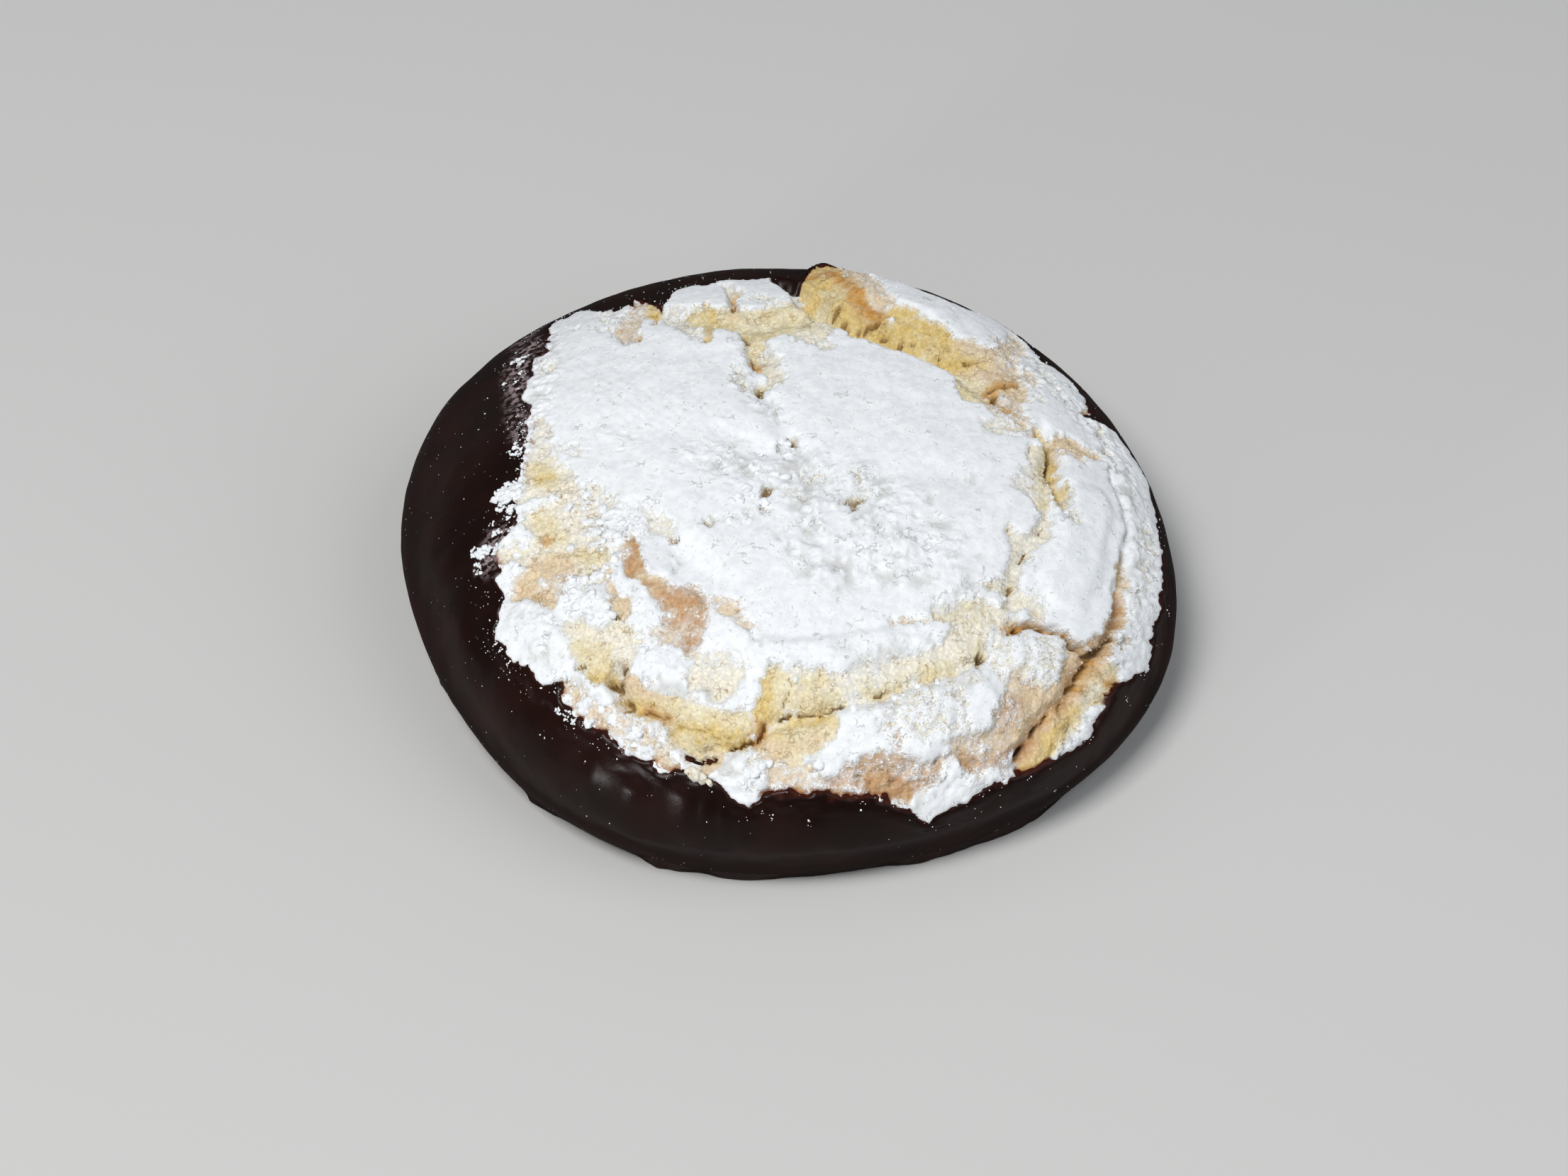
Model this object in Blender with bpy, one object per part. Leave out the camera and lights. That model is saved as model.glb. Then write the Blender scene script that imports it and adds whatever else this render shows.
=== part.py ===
"""A soft almond biscuit (amaretto) under a crust of icing sugar, dipped in dark chocolate.

Two solids: the baked biscuit, with its raised sugar plates and baking cracks, and the chocolate
coat, a cup that wraps its base and sides, ends in a ragged edge and spreads into a thin foot.
Lengths are written in millimetres and angles in degrees; finish() turns the vertices to metres.
The biscuit lies flat: +Z is up, and the shelf left by the widest crack is at the back, +Y.
"""
import math

import bmesh
import bpy
import numpy as np
from mathutils import Vector, noise

METRE = 0.001

# Outline seen from above: a mean radius and a few waves (count, cosine, sine part).
PLAN_RADIUS = 30.75
PLAN_WAVES = ((2, -0.25, -0.80), (3, 0.15, 0.0), (4, -0.13, -0.46), (5, -0.1, 0.07))

# Side view: a flattened dome above the widest level, tucked in a little below it.
HEIGHT = 17.8
WIDEST_LEVEL = 5.0
DOME_POWER = 2.1
DOME_ROUNDNESS = 0.8
WALL_TUCK = 0.07
WALL_TUCK_POWER = 1.6
WALL_END = 125.0

# Chocolate: wall thickness, thinner at the edge, and the gap that keeps both solids apart.
COAT_THICKNESS = 1.05
COAT_EDGE_THICKNESS = 0.4
COAT_TAPER = 4.0
GAP = 0.35
FLOOR_LEVEL = 1.0
FLOOR_CORNER = 118.0

# Chocolate foot: how far it spreads beside the mean outline, and its thin edge.
FOOT_REACH = 0.955
FOOT_WAVES = ((3, 0.35, 40.0), (7, 0.35, 15.0), (11, 0.25, 70.0), (17, 0.15, 0.0))
FOOT_EDGE_LEVEL = 0.28
FOOT_EDGE_ROUND = 0.2

# Upper edge of the chocolate: direction (0 is +X, 90 is +Y) and angle down from the top.
CHOCOLATE_EDGE = (
    (-180, 37), (-172, 44), (-167, 40), (-160, 48), (-150, 52), (-145, 60), (-132, 59), (-124, 62),
    (-102, 66), (-95, 72), (-90, 69), (-80, 73), (-71, 87), (-49, 85), (-36, 74), (-28, 82),
    (-18, 72), (8, 70), (20, 65), (28, 60), (55, 58), (80, 50), (89, 42), (95, 44), (111, 44),
    (119, 38), (125, 44), (131, 53), (138, 52), (145, 45), (157, 41), (165, 36), (174, 37),
)
EDGE_RAGGEDNESS = 1.6

# Baking cracks: points as x, y, half width, depth. A point outside the outline is on the wall.
CRACKS = {
    "back shelf": ((-0.6, 23.0, 1.2, 1.2), (1.5, 20.5, 1.8, 2.0), (4.0, 17.3, 2.3, 2.6), (7.0, 15.6, 2.4, 2.6),
                   (10.0, 14.2, 2.4, 2.4), (13.0, 12.2, 2.3, 2.2), (15.4, 9.6, 2.1, 2.0), (16.6, 6.8, 1.8, 2.2),
                   (18.6, 5.2, 1.2, 1.2)),
    "right slit": ((19.4, 4.4, 1.1, 1.0), (20.2, 2.0, 1.5, 2.2), (20.4, -0.5, 1.4, 2.6), (20.8, -3.0, 1.2, 2.0),
                   (21.4, -5.2, 0.9, 0.9)),
    "right fold": ((21.4, -5.2, 0.9, 0.7), (19.8, -7.5, 1.0, 1.0), (18.4, -10.0, 1.1, 1.2), (17.2, -13.4, 1.0, 1.2),
                   (17.0, -16.2, 1.2, 2.0)),
    "lower slit": ((15.2, -17.2, 0.9, 0.8), (17.0, -16.2, 1.1, 2.0), (19.4, -15.8, 1.0, 1.6),
                   (21.8, -16.2, 1.1, 1.8), (23.4, -16.9, 1.4, 2.4)),
    "lower groove": ((24.6, -15.6, 1.1, 1.2), (23.4, -16.9, 1.5, 2.2), (22.2, -18.8, 1.7, 2.4),
                     (20.8, -20.9, 1.8, 2.2), (19.2, -23.0, 1.8, 2.4), (17.8, -25.0, 1.6, 2.4),
                     (17.0, -26.4, 1.3, 1.8)),
    "outer groove": ((23.4, -16.9, 1.3, 1.8), (24.6, -14.4, 1.3, 1.4), (25.6, -12.0, 1.4, 1.4),
                     (26.1, -9.0, 1.3, 1.2), (26.3, -6.0, 1.0, 0.9), (25.6, -2.0, 0.9, 0.7), (25.0, 1.5, 0.8, 0.6)),
    "front crack": ((-10.6, -23.8, 1.2, 1.3), (-8.6, -24.8, 1.3, 1.4), (-6.2, -27.3, 1.4, 2.0),
                    (-4.2, -27.0, 1.1, 1.5), (-2.0, -26.4, 1.2, 1.8), (-0.4, -25.2, 1.2, 1.6),
                    (1.8, -25.0, 1.1, 1.6), (3.8, -24.2, 1.1, 1.5), (7.4, -22.9, 1.0, 1.2),
                    (12.2, -21.4, 1.0, 0.9), (14.6, -19.8, 1.1, 1.6), (15.2, -17.2, 0.9, 0.9)),
    "left bare patch": ((-11.2, -10.2, 0.9, 0.6), (-10.9, -12.6, 1.3, 0.7), (-9.2, -15.0, 1.4, 0.7),
                        (-7.6, -17.2, 2.4, 0.7), (-7.2, -19.0, 1.6, 0.5)),
    "front left pits": ((-12.1, -20.2, 0.8, 1.0), (-12.4, -21.6, 0.9, 1.3), (-11.6, -22.9, 0.9, 1.2)),
    "top bare band": ((-10.0, 17.0, 1.6, 0.5), (-6.2, 15.4, 1.8, 0.7), (-3.0, 15.0, 1.8, 0.8), (1.0, 16.0, 1.8, 0.9)),
    "top notch": ((-2.4, 13.4, 1.2, 0.6), (-2.2, 10.4, 0.9, 0.6), (-2.0, 6.4, 0.7, 0.5)),
}

# Raised sugar plates: points as x, y, half width, height.
PLATES = {
    "back shelf": ((3.0, 26.0, 3.0, 0.8), (8.0, 23.5, 3.6, 0.9), (13.5, 19.8, 3.6, 0.9), (18.5, 14.8, 3.0, 0.7)),
    "right side": ((23.4, -3.4, 2.4, 0.6), (22.0, -9.0, 3.2, 0.7), (20.8, -12.8, 2.6, 0.6)),
    "lower right": ((17.4, -18.8, 2.2, 0.8), (19.6, -18.2, 2.2, 0.8)),
    "front bulge": ((5.4, -26.2, 2.8, 0.6), (10.0, -24.8, 3.4, 0.8), (14.2, -23.0, 2.6, 0.7)),
    "front lobe": ((-3.4, -28.3, 1.4, 0.5), (-2.2, -28.3, 1.3, 0.5)),
    "left lobes": ((-13.6, -15.8, 1.8, 0.5), (-13.4, -14.0, 1.4, 0.4)),
    "left rim": ((-19.4, -14.6, 1.8, 0.4), (-17.8, -17.0, 2.2, 0.5)),
    "front left rim": ((-9.4, -21.4, 1.8, 0.4), (-10.4, -25.6, 1.4, 0.4)),
}

# Uneven crust: height and spacing of the lumps, and the band beside the chocolate where they fade.
LUMPS = ((0.34, 6.5), (0.22, 2.6), (0.12, 1.3))
FADE_START = 0.6
FADE_END = 2.2

# Mesh density.
BISCUIT_SUBDIVISIONS = 7
BISCUIT_KEPT_SHARE = 0.078
COAT_SEGMENTS = 84


def plan_radius(angle):
    """Outline radius from above for an angle in radians."""
    radius = np.full_like(np.asarray(angle, float), PLAN_RADIUS)
    for count, cosine, sine in PLAN_WAVES:
        radius = radius + cosine * np.cos(count * angle) + sine * np.sin(count * angle)
    return radius


def side_profile(down):
    """Share of the outline radius and height, for an angle down from the top in degrees."""
    down = np.asarray(down, float)
    upper = np.radians(np.minimum(down, 90.0))
    dome_share = np.sin(upper) ** DOME_ROUNDNESS
    dome_height = WIDEST_LEVEL + (HEIGHT - WIDEST_LEVEL) * np.clip(np.cos(upper), 0, 1) ** (2 / DOME_POWER)
    fall = np.clip((down - 90.0) / (WALL_END - 90.0), 0, 1)
    wall_share = 1 - WALL_TUCK * fall ** WALL_TUCK_POWER
    wall_height = WIDEST_LEVEL * (1 - fall)
    on_dome = down <= 90.0
    return np.where(on_dome, dome_share, wall_share), np.where(on_dome, dome_height, wall_height)


# The profile as a fine table: arc length from the top, and the direction that points out of it.
TABLE_DOWN = np.linspace(0.0, WALL_END, 501)
TABLE_SHARE, TABLE_HEIGHT = side_profile(TABLE_DOWN)
TABLE_RUN = np.gradient(TABLE_SHARE * PLAN_RADIUS)
TABLE_DROP = np.gradient(TABLE_HEIGHT)
TABLE_STEP = np.hypot(TABLE_RUN, TABLE_DROP)
TABLE_ARC = np.concatenate([[0.0], np.cumsum((TABLE_STEP[1:] + TABLE_STEP[:-1]) / 2)])
TABLE_OUT_RADIAL = -TABLE_DROP / TABLE_STEP
TABLE_OUT_UP = TABLE_RUN / TABLE_STEP


def smooth_step(low, high, value):
    """0 below low, 1 above high, with a soft change between."""
    share = np.clip((value - low) / (high - low), 0, 1)
    return share * share * (3 - 2 * share)


def lumpy(points, spacing, seed):
    """Smooth noise from -1 to 1 at each point."""
    shift = Vector((seed, -seed, 0.5 * seed))
    return np.array([noise.noise(Vector(point) / spacing + shift) for point in points])


def ragged_edge():
    """Edge of the chocolate at each segment of the coat, so that both solids follow one line."""
    directions, downs = zip(*CHOCOLATE_EDGE)
    degrees = np.linspace(-180.0, 180.0, COAT_SEGMENTS + 1)
    angle = np.radians(degrees)
    ring = np.stack([np.cos(angle), np.sin(angle), 0 * angle], axis=-1) * PLAN_RADIUS
    ragged = EDGE_RAGGEDNESS * lumpy(ring, 2.2, 3.0)
    ragged[-1] = ragged[0]
    return degrees, np.interp(degrees, directions, downs, period=360.0) + ragged


def edge_down(angle):
    """Angle down from the top, in degrees, at which the chocolate ends."""
    return np.interp(np.degrees(angle), *ragged_edge())


def below_edge(angle, down):
    """Distance along the surface from the chocolate's edge, positive under the chocolate."""
    arc = np.interp(down, TABLE_DOWN, TABLE_ARC)
    return arc - np.interp(edge_down(angle), TABLE_DOWN, TABLE_ARC)


def body_point(angle, down, outward):
    """Points of the smooth body, moved outward by a distance along the surface direction."""
    share = np.interp(down, TABLE_DOWN, TABLE_SHARE)
    height = np.interp(down, TABLE_DOWN, TABLE_HEIGHT)
    radius = plan_radius(angle) * share + outward * np.interp(down, TABLE_DOWN, TABLE_OUT_RADIAL)
    height = height + outward * np.interp(down, TABLE_DOWN, TABLE_OUT_UP)
    return np.stack([radius * np.cos(angle), radius * np.sin(angle), height], axis=-1)


def stroke_points(stroke):
    """Puts a stroke's points on the smooth body; those outside the outline go down the wall."""
    x, y, half_width, amount = np.array(stroke, float).T
    angle = np.arctan2(y, x)
    outline = plan_radius(angle)
    share = np.hypot(x, y) / outline
    on_dome = np.degrees(np.arcsin(np.minimum(share, 1.0) ** (1 / DOME_ROUNDNESS)))
    excess = np.maximum(np.hypot(x, y) - outline, 0.0)
    down = np.where(share < 1, on_dome, 90.0 + excess / WIDEST_LEVEL * (WALL_END - 90.0))
    return body_point(angle, down, 0.0), half_width, amount


def stroke_relief(points, stroke, sharpness):
    """Height of one stroke at each point: full on its line, none past its half width."""
    places, half_width, amount = stroke_points(stroke)
    relief = np.zeros(len(points))
    for start in range(len(places) - 1):
        first, second = places[start], places[start + 1]
        run = second - first
        along = np.clip((points - first) @ run / (run @ run), 0, 1)
        distance = np.linalg.norm(points - first - along[:, None] * run, axis=1)
        width = half_width[start] + along * (half_width[start + 1] - half_width[start])
        size = amount[start] + along * (amount[start + 1] - amount[start])
        inside = np.clip(1 - distance / width, 0, 1)
        relief = np.maximum(relief, size * np.minimum(inside * sharpness, 1.0) ** 1.3)
    return relief


def crust_relief(smooth_points):
    """Plates, cracks and lumps of the sugared top, in mm outward."""
    wobble = np.stack([lumpy(smooth_points, 3.0, seed) for seed in (11.0, 17.0, 23.0)], axis=-1)
    points = smooth_points + 0.9 * wobble
    plates = np.zeros(len(points))
    for stroke in PLATES.values():
        plates = np.maximum(plates, stroke_relief(points, stroke, 2.2))
    cracks = np.zeros(len(points))
    for stroke in CRACKS.values():
        cracks = np.maximum(cracks, stroke_relief(points, stroke, 1.25))
    lumps = sum(height * lumpy(smooth_points, spacing, 5.0 + spacing) for height, spacing in LUMPS)
    return plates - cracks + lumps, cracks


def finish(name, mesh, points, materials):
    """Writes the points back in metres, and returns the object, shaded smooth."""
    mesh.vertices.foreach_set("co", (np.asarray(points) * METRE).astype(np.float32).ravel())
    mesh.update()
    mesh.name = name
    for material in materials:
        mesh.materials.append(material)
    mesh.shade_smooth()
    part = bpy.data.objects.new(name, mesh)
    PARTS.objects.link(part)
    return part


def mesh_points(mesh):
    """The mesh's vertices as an array."""
    points = np.empty(len(mesh.vertices) * 3, np.float32)
    mesh.vertices.foreach_get("co", points)
    return points.reshape(-1, 3).astype(float)


def plain_material(name, colour, roughness, coat=0.0):
    """A Principled material with a linear colour."""
    material = bpy.data.materials.new(name)
    material.use_nodes = True
    shader = material.node_tree.nodes["Principled BSDF"]
    shader.inputs["Base Color"].default_value = (*colour, 1.0)
    shader.inputs["Roughness"].default_value = roughness
    shader.inputs["Metallic"].default_value = 0.0
    shader.inputs["Coat Weight"].default_value = coat
    return material


def make_biscuit(crumb, sugar):
    """The baked biscuit: a ball pressed to the dome, set back where the chocolate covers it."""
    mesh = bpy.data.meshes.new("biscuit")
    ball = bmesh.new()
    bmesh.ops.create_icosphere(ball, subdivisions=BISCUIT_SUBDIVISIONS, radius=1.0)
    ball.to_mesh(mesh)
    ball.free()
    unit = mesh_points(mesh)
    unit /= np.linalg.norm(unit, axis=1)[:, None]
    angle = np.arctan2(unit[:, 1], unit[:, 0])
    down = np.degrees(np.arccos(np.clip(unit[:, 2], -1, 1)))

    side = np.minimum(down, FLOOR_CORNER)
    covered = below_edge(angle, side)
    at_edge = COAT_EDGE_THICKNESS + GAP
    under_coat = COAT_THICKNESS + GAP
    setback = at_edge * smooth_step(-1.0, 0.0, covered)
    setback += (under_coat - at_edge) * smooth_step(0.0, COAT_TAPER, covered)
    relief, cracks = crust_relief(body_point(angle, side, 0.0))
    shown = smooth_step(FADE_START, FADE_END, -covered)
    points = body_point(angle, side, relief * shown - setback)

    base_share = np.clip((180.0 - down) / (180.0 - FLOOR_CORNER), 0, 1)
    points[:, :2] *= base_share[:, None]
    base_level = FLOOR_LEVEL + GAP
    points[:, 2] = np.where(down >= FLOOR_CORNER, base_level, np.maximum(points[:, 2], base_level))

    part = finish("biscuit", mesh, points, (crumb, sugar))
    sugared = (shown > 0.3) & (cracks < 0.35)
    corners = np.empty(len(mesh.polygons) * 3, np.int32)
    mesh.polygons.foreach_get("vertices", corners)
    white = sugared[corners.reshape(-1, 3)].all(axis=1)
    mesh.polygons.foreach_set("material_index", white.astype(np.int32))
    thin = part.modifiers.new("Fewer faces", "DECIMATE")
    thin.ratio = BISCUIT_KEPT_SHARE
    return part


def coat_rings():
    """Section of the coat from the middle of its floor, up inside, over the edge and down outside.

    Each ring is a function of the angle that returns radius and height.
    """
    def inside(share):
        def ring(angle):
            down = FLOOR_CORNER + (edge_down(angle) - FLOOR_CORNER) * share
            taper = smooth_step(0.0, COAT_TAPER, below_edge(angle, down))
            thickness = COAT_EDGE_THICKNESS + (COAT_THICKNESS - COAT_EDGE_THICKNESS) * taper
            return section_point(angle, down, -thickness)
        return ring

    def outside(share):
        def ring(angle):
            down = FLOOR_CORNER + (edge_down(angle) - FLOOR_CORNER) * share
            return section_point(angle, down, 0.0)
        return ring

    def floor(share):
        def ring(angle):
            radius, _ = section_point(angle, np.full_like(angle, FLOOR_CORNER), -COAT_THICKNESS)
            return radius * share, np.full_like(angle, FLOOR_LEVEL)
        return ring

    def foot(share, level):
        def ring(angle):
            wall, _ = section_point(angle, np.full_like(angle, FLOOR_CORNER), 0.0)
            return wall + (foot_radius(angle) - wall) * share, np.full_like(angle, level)
        return ring

    def underside(share):
        def ring(angle):
            return (foot_radius(angle) - FOOT_EDGE_ROUND) * share, np.zeros_like(angle)
        return ring

    rings = [floor(share) for share in (0.0, 0.4, 0.75, 1.0)]
    rings += [inside(share) for share in (0.16, 0.36, 0.58, 0.8, 1.0)]
    rings += [outside(share) for share in (1.0, 0.9, 0.74, 0.58, 0.42, 0.26, 0.12, 0.02)]
    rings += [foot(0.3, 0.8), foot(0.75, 0.5), foot(1.0, FOOT_EDGE_LEVEL)]
    rings += [underside(share) for share in (1.0, 0.9, 0.6, 0.3, 0.0)]
    return rings


def section_point(angle, down, outward):
    """Radius and height of a point of the smooth body moved outward."""
    point = body_point(angle, down, outward)
    return np.hypot(point[..., 0], point[..., 1]), point[..., 2]


def foot_radius(angle):
    """How far the chocolate foot spreads."""
    radius = plan_radius(angle) * FOOT_REACH
    for count, size, turn in FOOT_WAVES:
        radius = radius + size * np.cos(count * angle + math.radians(turn))
    return radius


def make_coat(chocolate):
    """The chocolate cup: a ball whose upper half is pressed into its lower half."""
    rings = coat_rings()
    mesh = bpy.data.meshes.new("chocolate_coat")
    ball = bmesh.new()
    bmesh.ops.create_uvsphere(ball, u_segments=COAT_SEGMENTS, v_segments=len(rings) - 1, radius=1.0)
    bmesh.ops.triangulate(ball, faces=ball.faces[:])
    ball.to_mesh(mesh)
    ball.free()
    unit = mesh_points(mesh)
    angle = np.arctan2(unit[:, 1], unit[:, 0])
    latitude = np.arccos(np.clip(unit[:, 2], -1, 1)) / math.pi
    ring_number = np.round(latitude * (len(rings) - 1)).astype(int)
    points = np.zeros_like(unit)
    for number, ring in enumerate(rings):
        chosen = ring_number == number
        radius, level = ring(angle[chosen])
        points[chosen, 0] = radius * np.cos(angle[chosen])
        points[chosen, 1] = radius * np.sin(angle[chosen])
        points[chosen, 2] = level
    return finish("chocolate_coat", mesh, points, (chocolate,))


def centre(parts):
    """Moves the vertices so that the whole stands on z = 0, centred on the origin."""
    clouds = [mesh_points(part.data) for part in parts]
    low = np.min([cloud.min(axis=0) for cloud in clouds], axis=0)
    high = np.max([cloud.max(axis=0) for cloud in clouds], axis=0)
    shift = np.array([(low[0] + high[0]) / 2, (low[1] + high[1]) / 2, low[2]])
    for part, cloud in zip(parts, clouds):
        part.data.vertices.foreach_set("co", (cloud - shift).astype(np.float32).ravel())
        part.data.update()


for leftover in list(bpy.data.objects):
    bpy.data.objects.remove(leftover)

PARTS = bpy.data.collections.new("amaretto")
bpy.context.scene.collection.children.link(PARTS)

biscuit = make_biscuit(
    plain_material("almond crumb", (0.73, 0.60, 0.31), 0.8),
    plain_material("icing sugar", (0.84, 0.87, 0.90), 0.9),
)
coat = make_coat(plain_material("dark chocolate", (0.012, 0.006, 0.005), 0.35, coat=0.2))
centre((biscuit, coat))
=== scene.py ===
# %% [markdown]
# # A soft amaretto, dipped in dark chocolate
#
# This lesson dresses one small almond biscuit. It is baked under a thick layer of icing sugar,
# which cracks as the dough spreads, and its base and sides are then dipped in dark chocolate.
# The solids of the biscuit and of the chocolate cup are loaded first. Each visible piece is then
# built round the same dome as the solids.

import math

import bmesh
import bpy
import numpy as np
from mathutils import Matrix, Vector, noise


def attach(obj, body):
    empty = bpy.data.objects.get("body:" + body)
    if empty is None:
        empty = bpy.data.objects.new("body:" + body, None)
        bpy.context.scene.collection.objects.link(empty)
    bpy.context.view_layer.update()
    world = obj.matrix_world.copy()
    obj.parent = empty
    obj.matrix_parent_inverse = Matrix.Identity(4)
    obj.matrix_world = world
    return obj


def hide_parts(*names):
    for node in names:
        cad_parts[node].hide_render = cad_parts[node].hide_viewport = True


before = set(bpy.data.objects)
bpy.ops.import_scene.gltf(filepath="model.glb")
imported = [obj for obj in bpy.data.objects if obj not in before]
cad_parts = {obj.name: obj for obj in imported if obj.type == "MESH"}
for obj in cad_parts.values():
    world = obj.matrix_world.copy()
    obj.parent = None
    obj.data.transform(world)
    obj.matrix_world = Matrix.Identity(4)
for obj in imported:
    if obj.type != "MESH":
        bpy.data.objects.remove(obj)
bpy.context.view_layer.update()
MM = 0.001

# %% [markdown]
# ## The body as a formula
#
# A biscuit that is spooned onto a tray spreads into a low dome with a nearly round outline. Such a
# shape could be sculpted, but then no one could say where a point of its skin is. Here it is a
# formula instead: a direction round the biscuit and an angle down from the top name any point of
# the skin. Every crack, sugar patch and chocolate edge below is placed with it, in millimetres.

# %% The smooth body
PLAN_RADIUS = 30.75
PLAN_WAVES = ((2, -0.25, -0.80), (3, 0.15, 0.0), (4, -0.13, -0.46), (5, -0.1, 0.07))
HEIGHT = 17.8
WIDEST_LEVEL = 5.0
DOME_POWER = 2.1
DOME_ROUNDNESS = 0.8
WALL_TUCK = 0.07
WALL_TUCK_POWER = 1.6
WALL_END = 125.0
FLOOR_CORNER = 118.0


def plan_radius(angle):
    """Outline radius from above, for a direction in radians."""
    radius = np.full_like(np.asarray(angle, float), PLAN_RADIUS)
    for count, cosine, sine in PLAN_WAVES:
        radius = radius + cosine * np.cos(count * angle) + sine * np.sin(count * angle)
    return radius


def side_profile(down):
    """Share of the outline radius and height, for an angle down from the top in degrees."""
    upper = np.radians(np.minimum(down, 90.0))
    dome_height = WIDEST_LEVEL + (HEIGHT - WIDEST_LEVEL) * np.clip(np.cos(upper), 0, 1) ** (2 / DOME_POWER)
    fall = np.clip((down - 90.0) / (WALL_END - 90.0), 0, 1)
    share = np.where(down <= 90.0, np.sin(upper) ** DOME_ROUNDNESS, 1 - WALL_TUCK * fall ** WALL_TUCK_POWER)
    return share, np.where(down <= 90.0, dome_height, WIDEST_LEVEL * (1 - fall))


TABLE_DOWN = np.linspace(0.0, WALL_END, 501)
TABLE_SHARE, TABLE_HEIGHT = side_profile(TABLE_DOWN)
TABLE_RUN = np.gradient(TABLE_SHARE * PLAN_RADIUS)
TABLE_DROP = np.gradient(TABLE_HEIGHT)
TABLE_STEP = np.hypot(TABLE_RUN, TABLE_DROP)
TABLE_ARC = np.concatenate([[0.0], np.cumsum((TABLE_STEP[1:] + TABLE_STEP[:-1]) / 2)])


def arc_at(down):
    """Length along the skin from the top, in mm."""
    return np.interp(down, TABLE_DOWN, TABLE_ARC)


def down_at(arc):
    """Angle down from the top for a length along the skin."""
    return np.interp(arc, TABLE_ARC, TABLE_DOWN)


def body_point(angle, down, outward=0.0):
    """Points of the smooth body, moved outward by a distance in mm."""
    out_radial = np.interp(down, TABLE_DOWN, -TABLE_DROP / TABLE_STEP)
    out_up = np.interp(down, TABLE_DOWN, TABLE_RUN / TABLE_STEP)
    radius = plan_radius(angle) * np.interp(down, TABLE_DOWN, TABLE_SHARE) + outward * out_radial
    height = np.interp(down, TABLE_DOWN, TABLE_HEIGHT) + outward * out_up
    return np.stack([radius * np.cos(angle), radius * np.sin(angle), height], axis=-1)


def from_above(x, y):
    """Direction and angle down of the skin seen at x, y from above; past the outline it is the wall."""
    angle = np.arctan2(y, x)
    outline = plan_radius(angle)
    share = np.hypot(x, y) / outline
    on_dome = np.degrees(np.arcsin(np.minimum(share, 1.0) ** (1 / DOME_ROUNDNESS)))
    excess = np.maximum(np.hypot(x, y) - outline, 0.0)
    return angle, np.where(share < 1, on_dome, 90.0 + excess / WIDEST_LEVEL * (WALL_END - 90.0))


compass = np.linspace(-math.pi, math.pi, 84, endpoint=False)
outline = plan_radius(compass)[:, None] * np.stack([np.cos(compass), np.sin(compass)], axis=-1)
MIDDLE = np.append((outline.max(axis=0) + outline.min(axis=0)) / 2, 0.0)
print("outline in mm:", np.round(np.ptp(outline, axis=0), 2), "middle:", np.round(MIDDLE, 3))

# %% [markdown]
# ## The camera
#
# The biscuit is looked down on at 45 degrees with a long lens. The camera comes early in the
# script, so that every later piece can be judged in the view that matters most.

# %% Camera
VIEW_ELEVATION = math.radians(45.0)
VIEW_WIDTH = 125.2 * MM
LENS = 85.0
SENSOR = 36.0
view_target = Vector((-0.08, 0.0, 1.65)) * MM - Vector(MIDDLE) * MM
view_distance = VIEW_WIDTH * LENS / SENSOR

camera_data = bpy.data.cameras.new("camera")
camera_data.lens = LENS
camera_data.sensor_width = SENSOR
camera_data.clip_start = 0.01
camera = bpy.data.objects.new("camera", camera_data)
back_off = Vector((0.0, -math.cos(VIEW_ELEVATION), math.sin(VIEW_ELEVATION)))
camera.location = view_target + back_off * view_distance
camera.rotation_euler = (math.pi / 2 - VIEW_ELEVATION, 0.0, 0.0)
bpy.context.scene.collection.objects.link(camera)
bpy.context.scene.camera = camera
bpy.context.scene.view_settings.view_transform = "Standard"
print("camera is", round(view_distance / MM, 1), "mm from the biscuit")

# %% [markdown]
# ## Noise and strokes
#
# Baking is uneven, so two tools are used all over. The first is smooth noise, which gives lumps of
# a chosen size. The second is the stroke: a short line on the skin with a half width at each
# point, the way one would draw a crack or wipe away sugar with a fingertip. A painted picture could
# do the same, but strokes stay sharp at any size and can move the surface as well as colour it.

# %% Noise and stroke helpers
def lumpy(points, spacing, seed):
    """Smooth noise from about -1 to 1 at each point."""
    shift = Vector((seed, -seed, 0.5 * seed))
    return np.array([noise.noise(Vector(point) / spacing + shift) for point in points])


def crumbs(points, spacing, seed):
    """Rounded grains: 1 in the middle of a grain, 0 between grains."""
    shift = Vector((seed, 2 * seed, -seed))
    near = np.array([noise.voronoi(Vector(point) / spacing + shift)[0][0] for point in points])
    return np.clip(1 - near * 1.4, 0, 1)


def smooth_step(low, high, value):
    """0 below low, 1 above high, with a soft change between."""
    share = np.clip((value - low) / (high - low), 0, 1)
    return share * share * (3 - 2 * share)


def on_skin(stroke):
    """A stroke's points on the smooth body."""
    x, y = np.array(stroke, float).T[:2]
    return body_point(*from_above(x, y))


def stroke_parts(points, stroke):
    """For each piece of a stroke: distance of every point, and how far along the piece it lies."""
    places = on_skin(stroke)
    if len(places) == 1:
        yield np.linalg.norm(points - places[0], axis=1), np.zeros(len(points)), 0, 0
    for start in range(len(places) - 1):
        run = places[start + 1] - places[start]
        along = np.clip((points - places[start]) @ run / (run @ run), 0, 1)
        yield np.linalg.norm(points - places[start] - along[:, None] * run, axis=1), along, start, start + 1


def inside(points, stroke):
    """How far inside a stroke each point lies, in mm; negative outside."""
    width = np.array(stroke, float)[:, 2]
    best = np.full(len(points), -9.0)
    for distance, along, start, end in stroke_parts(points, stroke):
        best = np.maximum(best, width[start] + along * (width[end] - width[start]) - distance)
    return best


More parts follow.
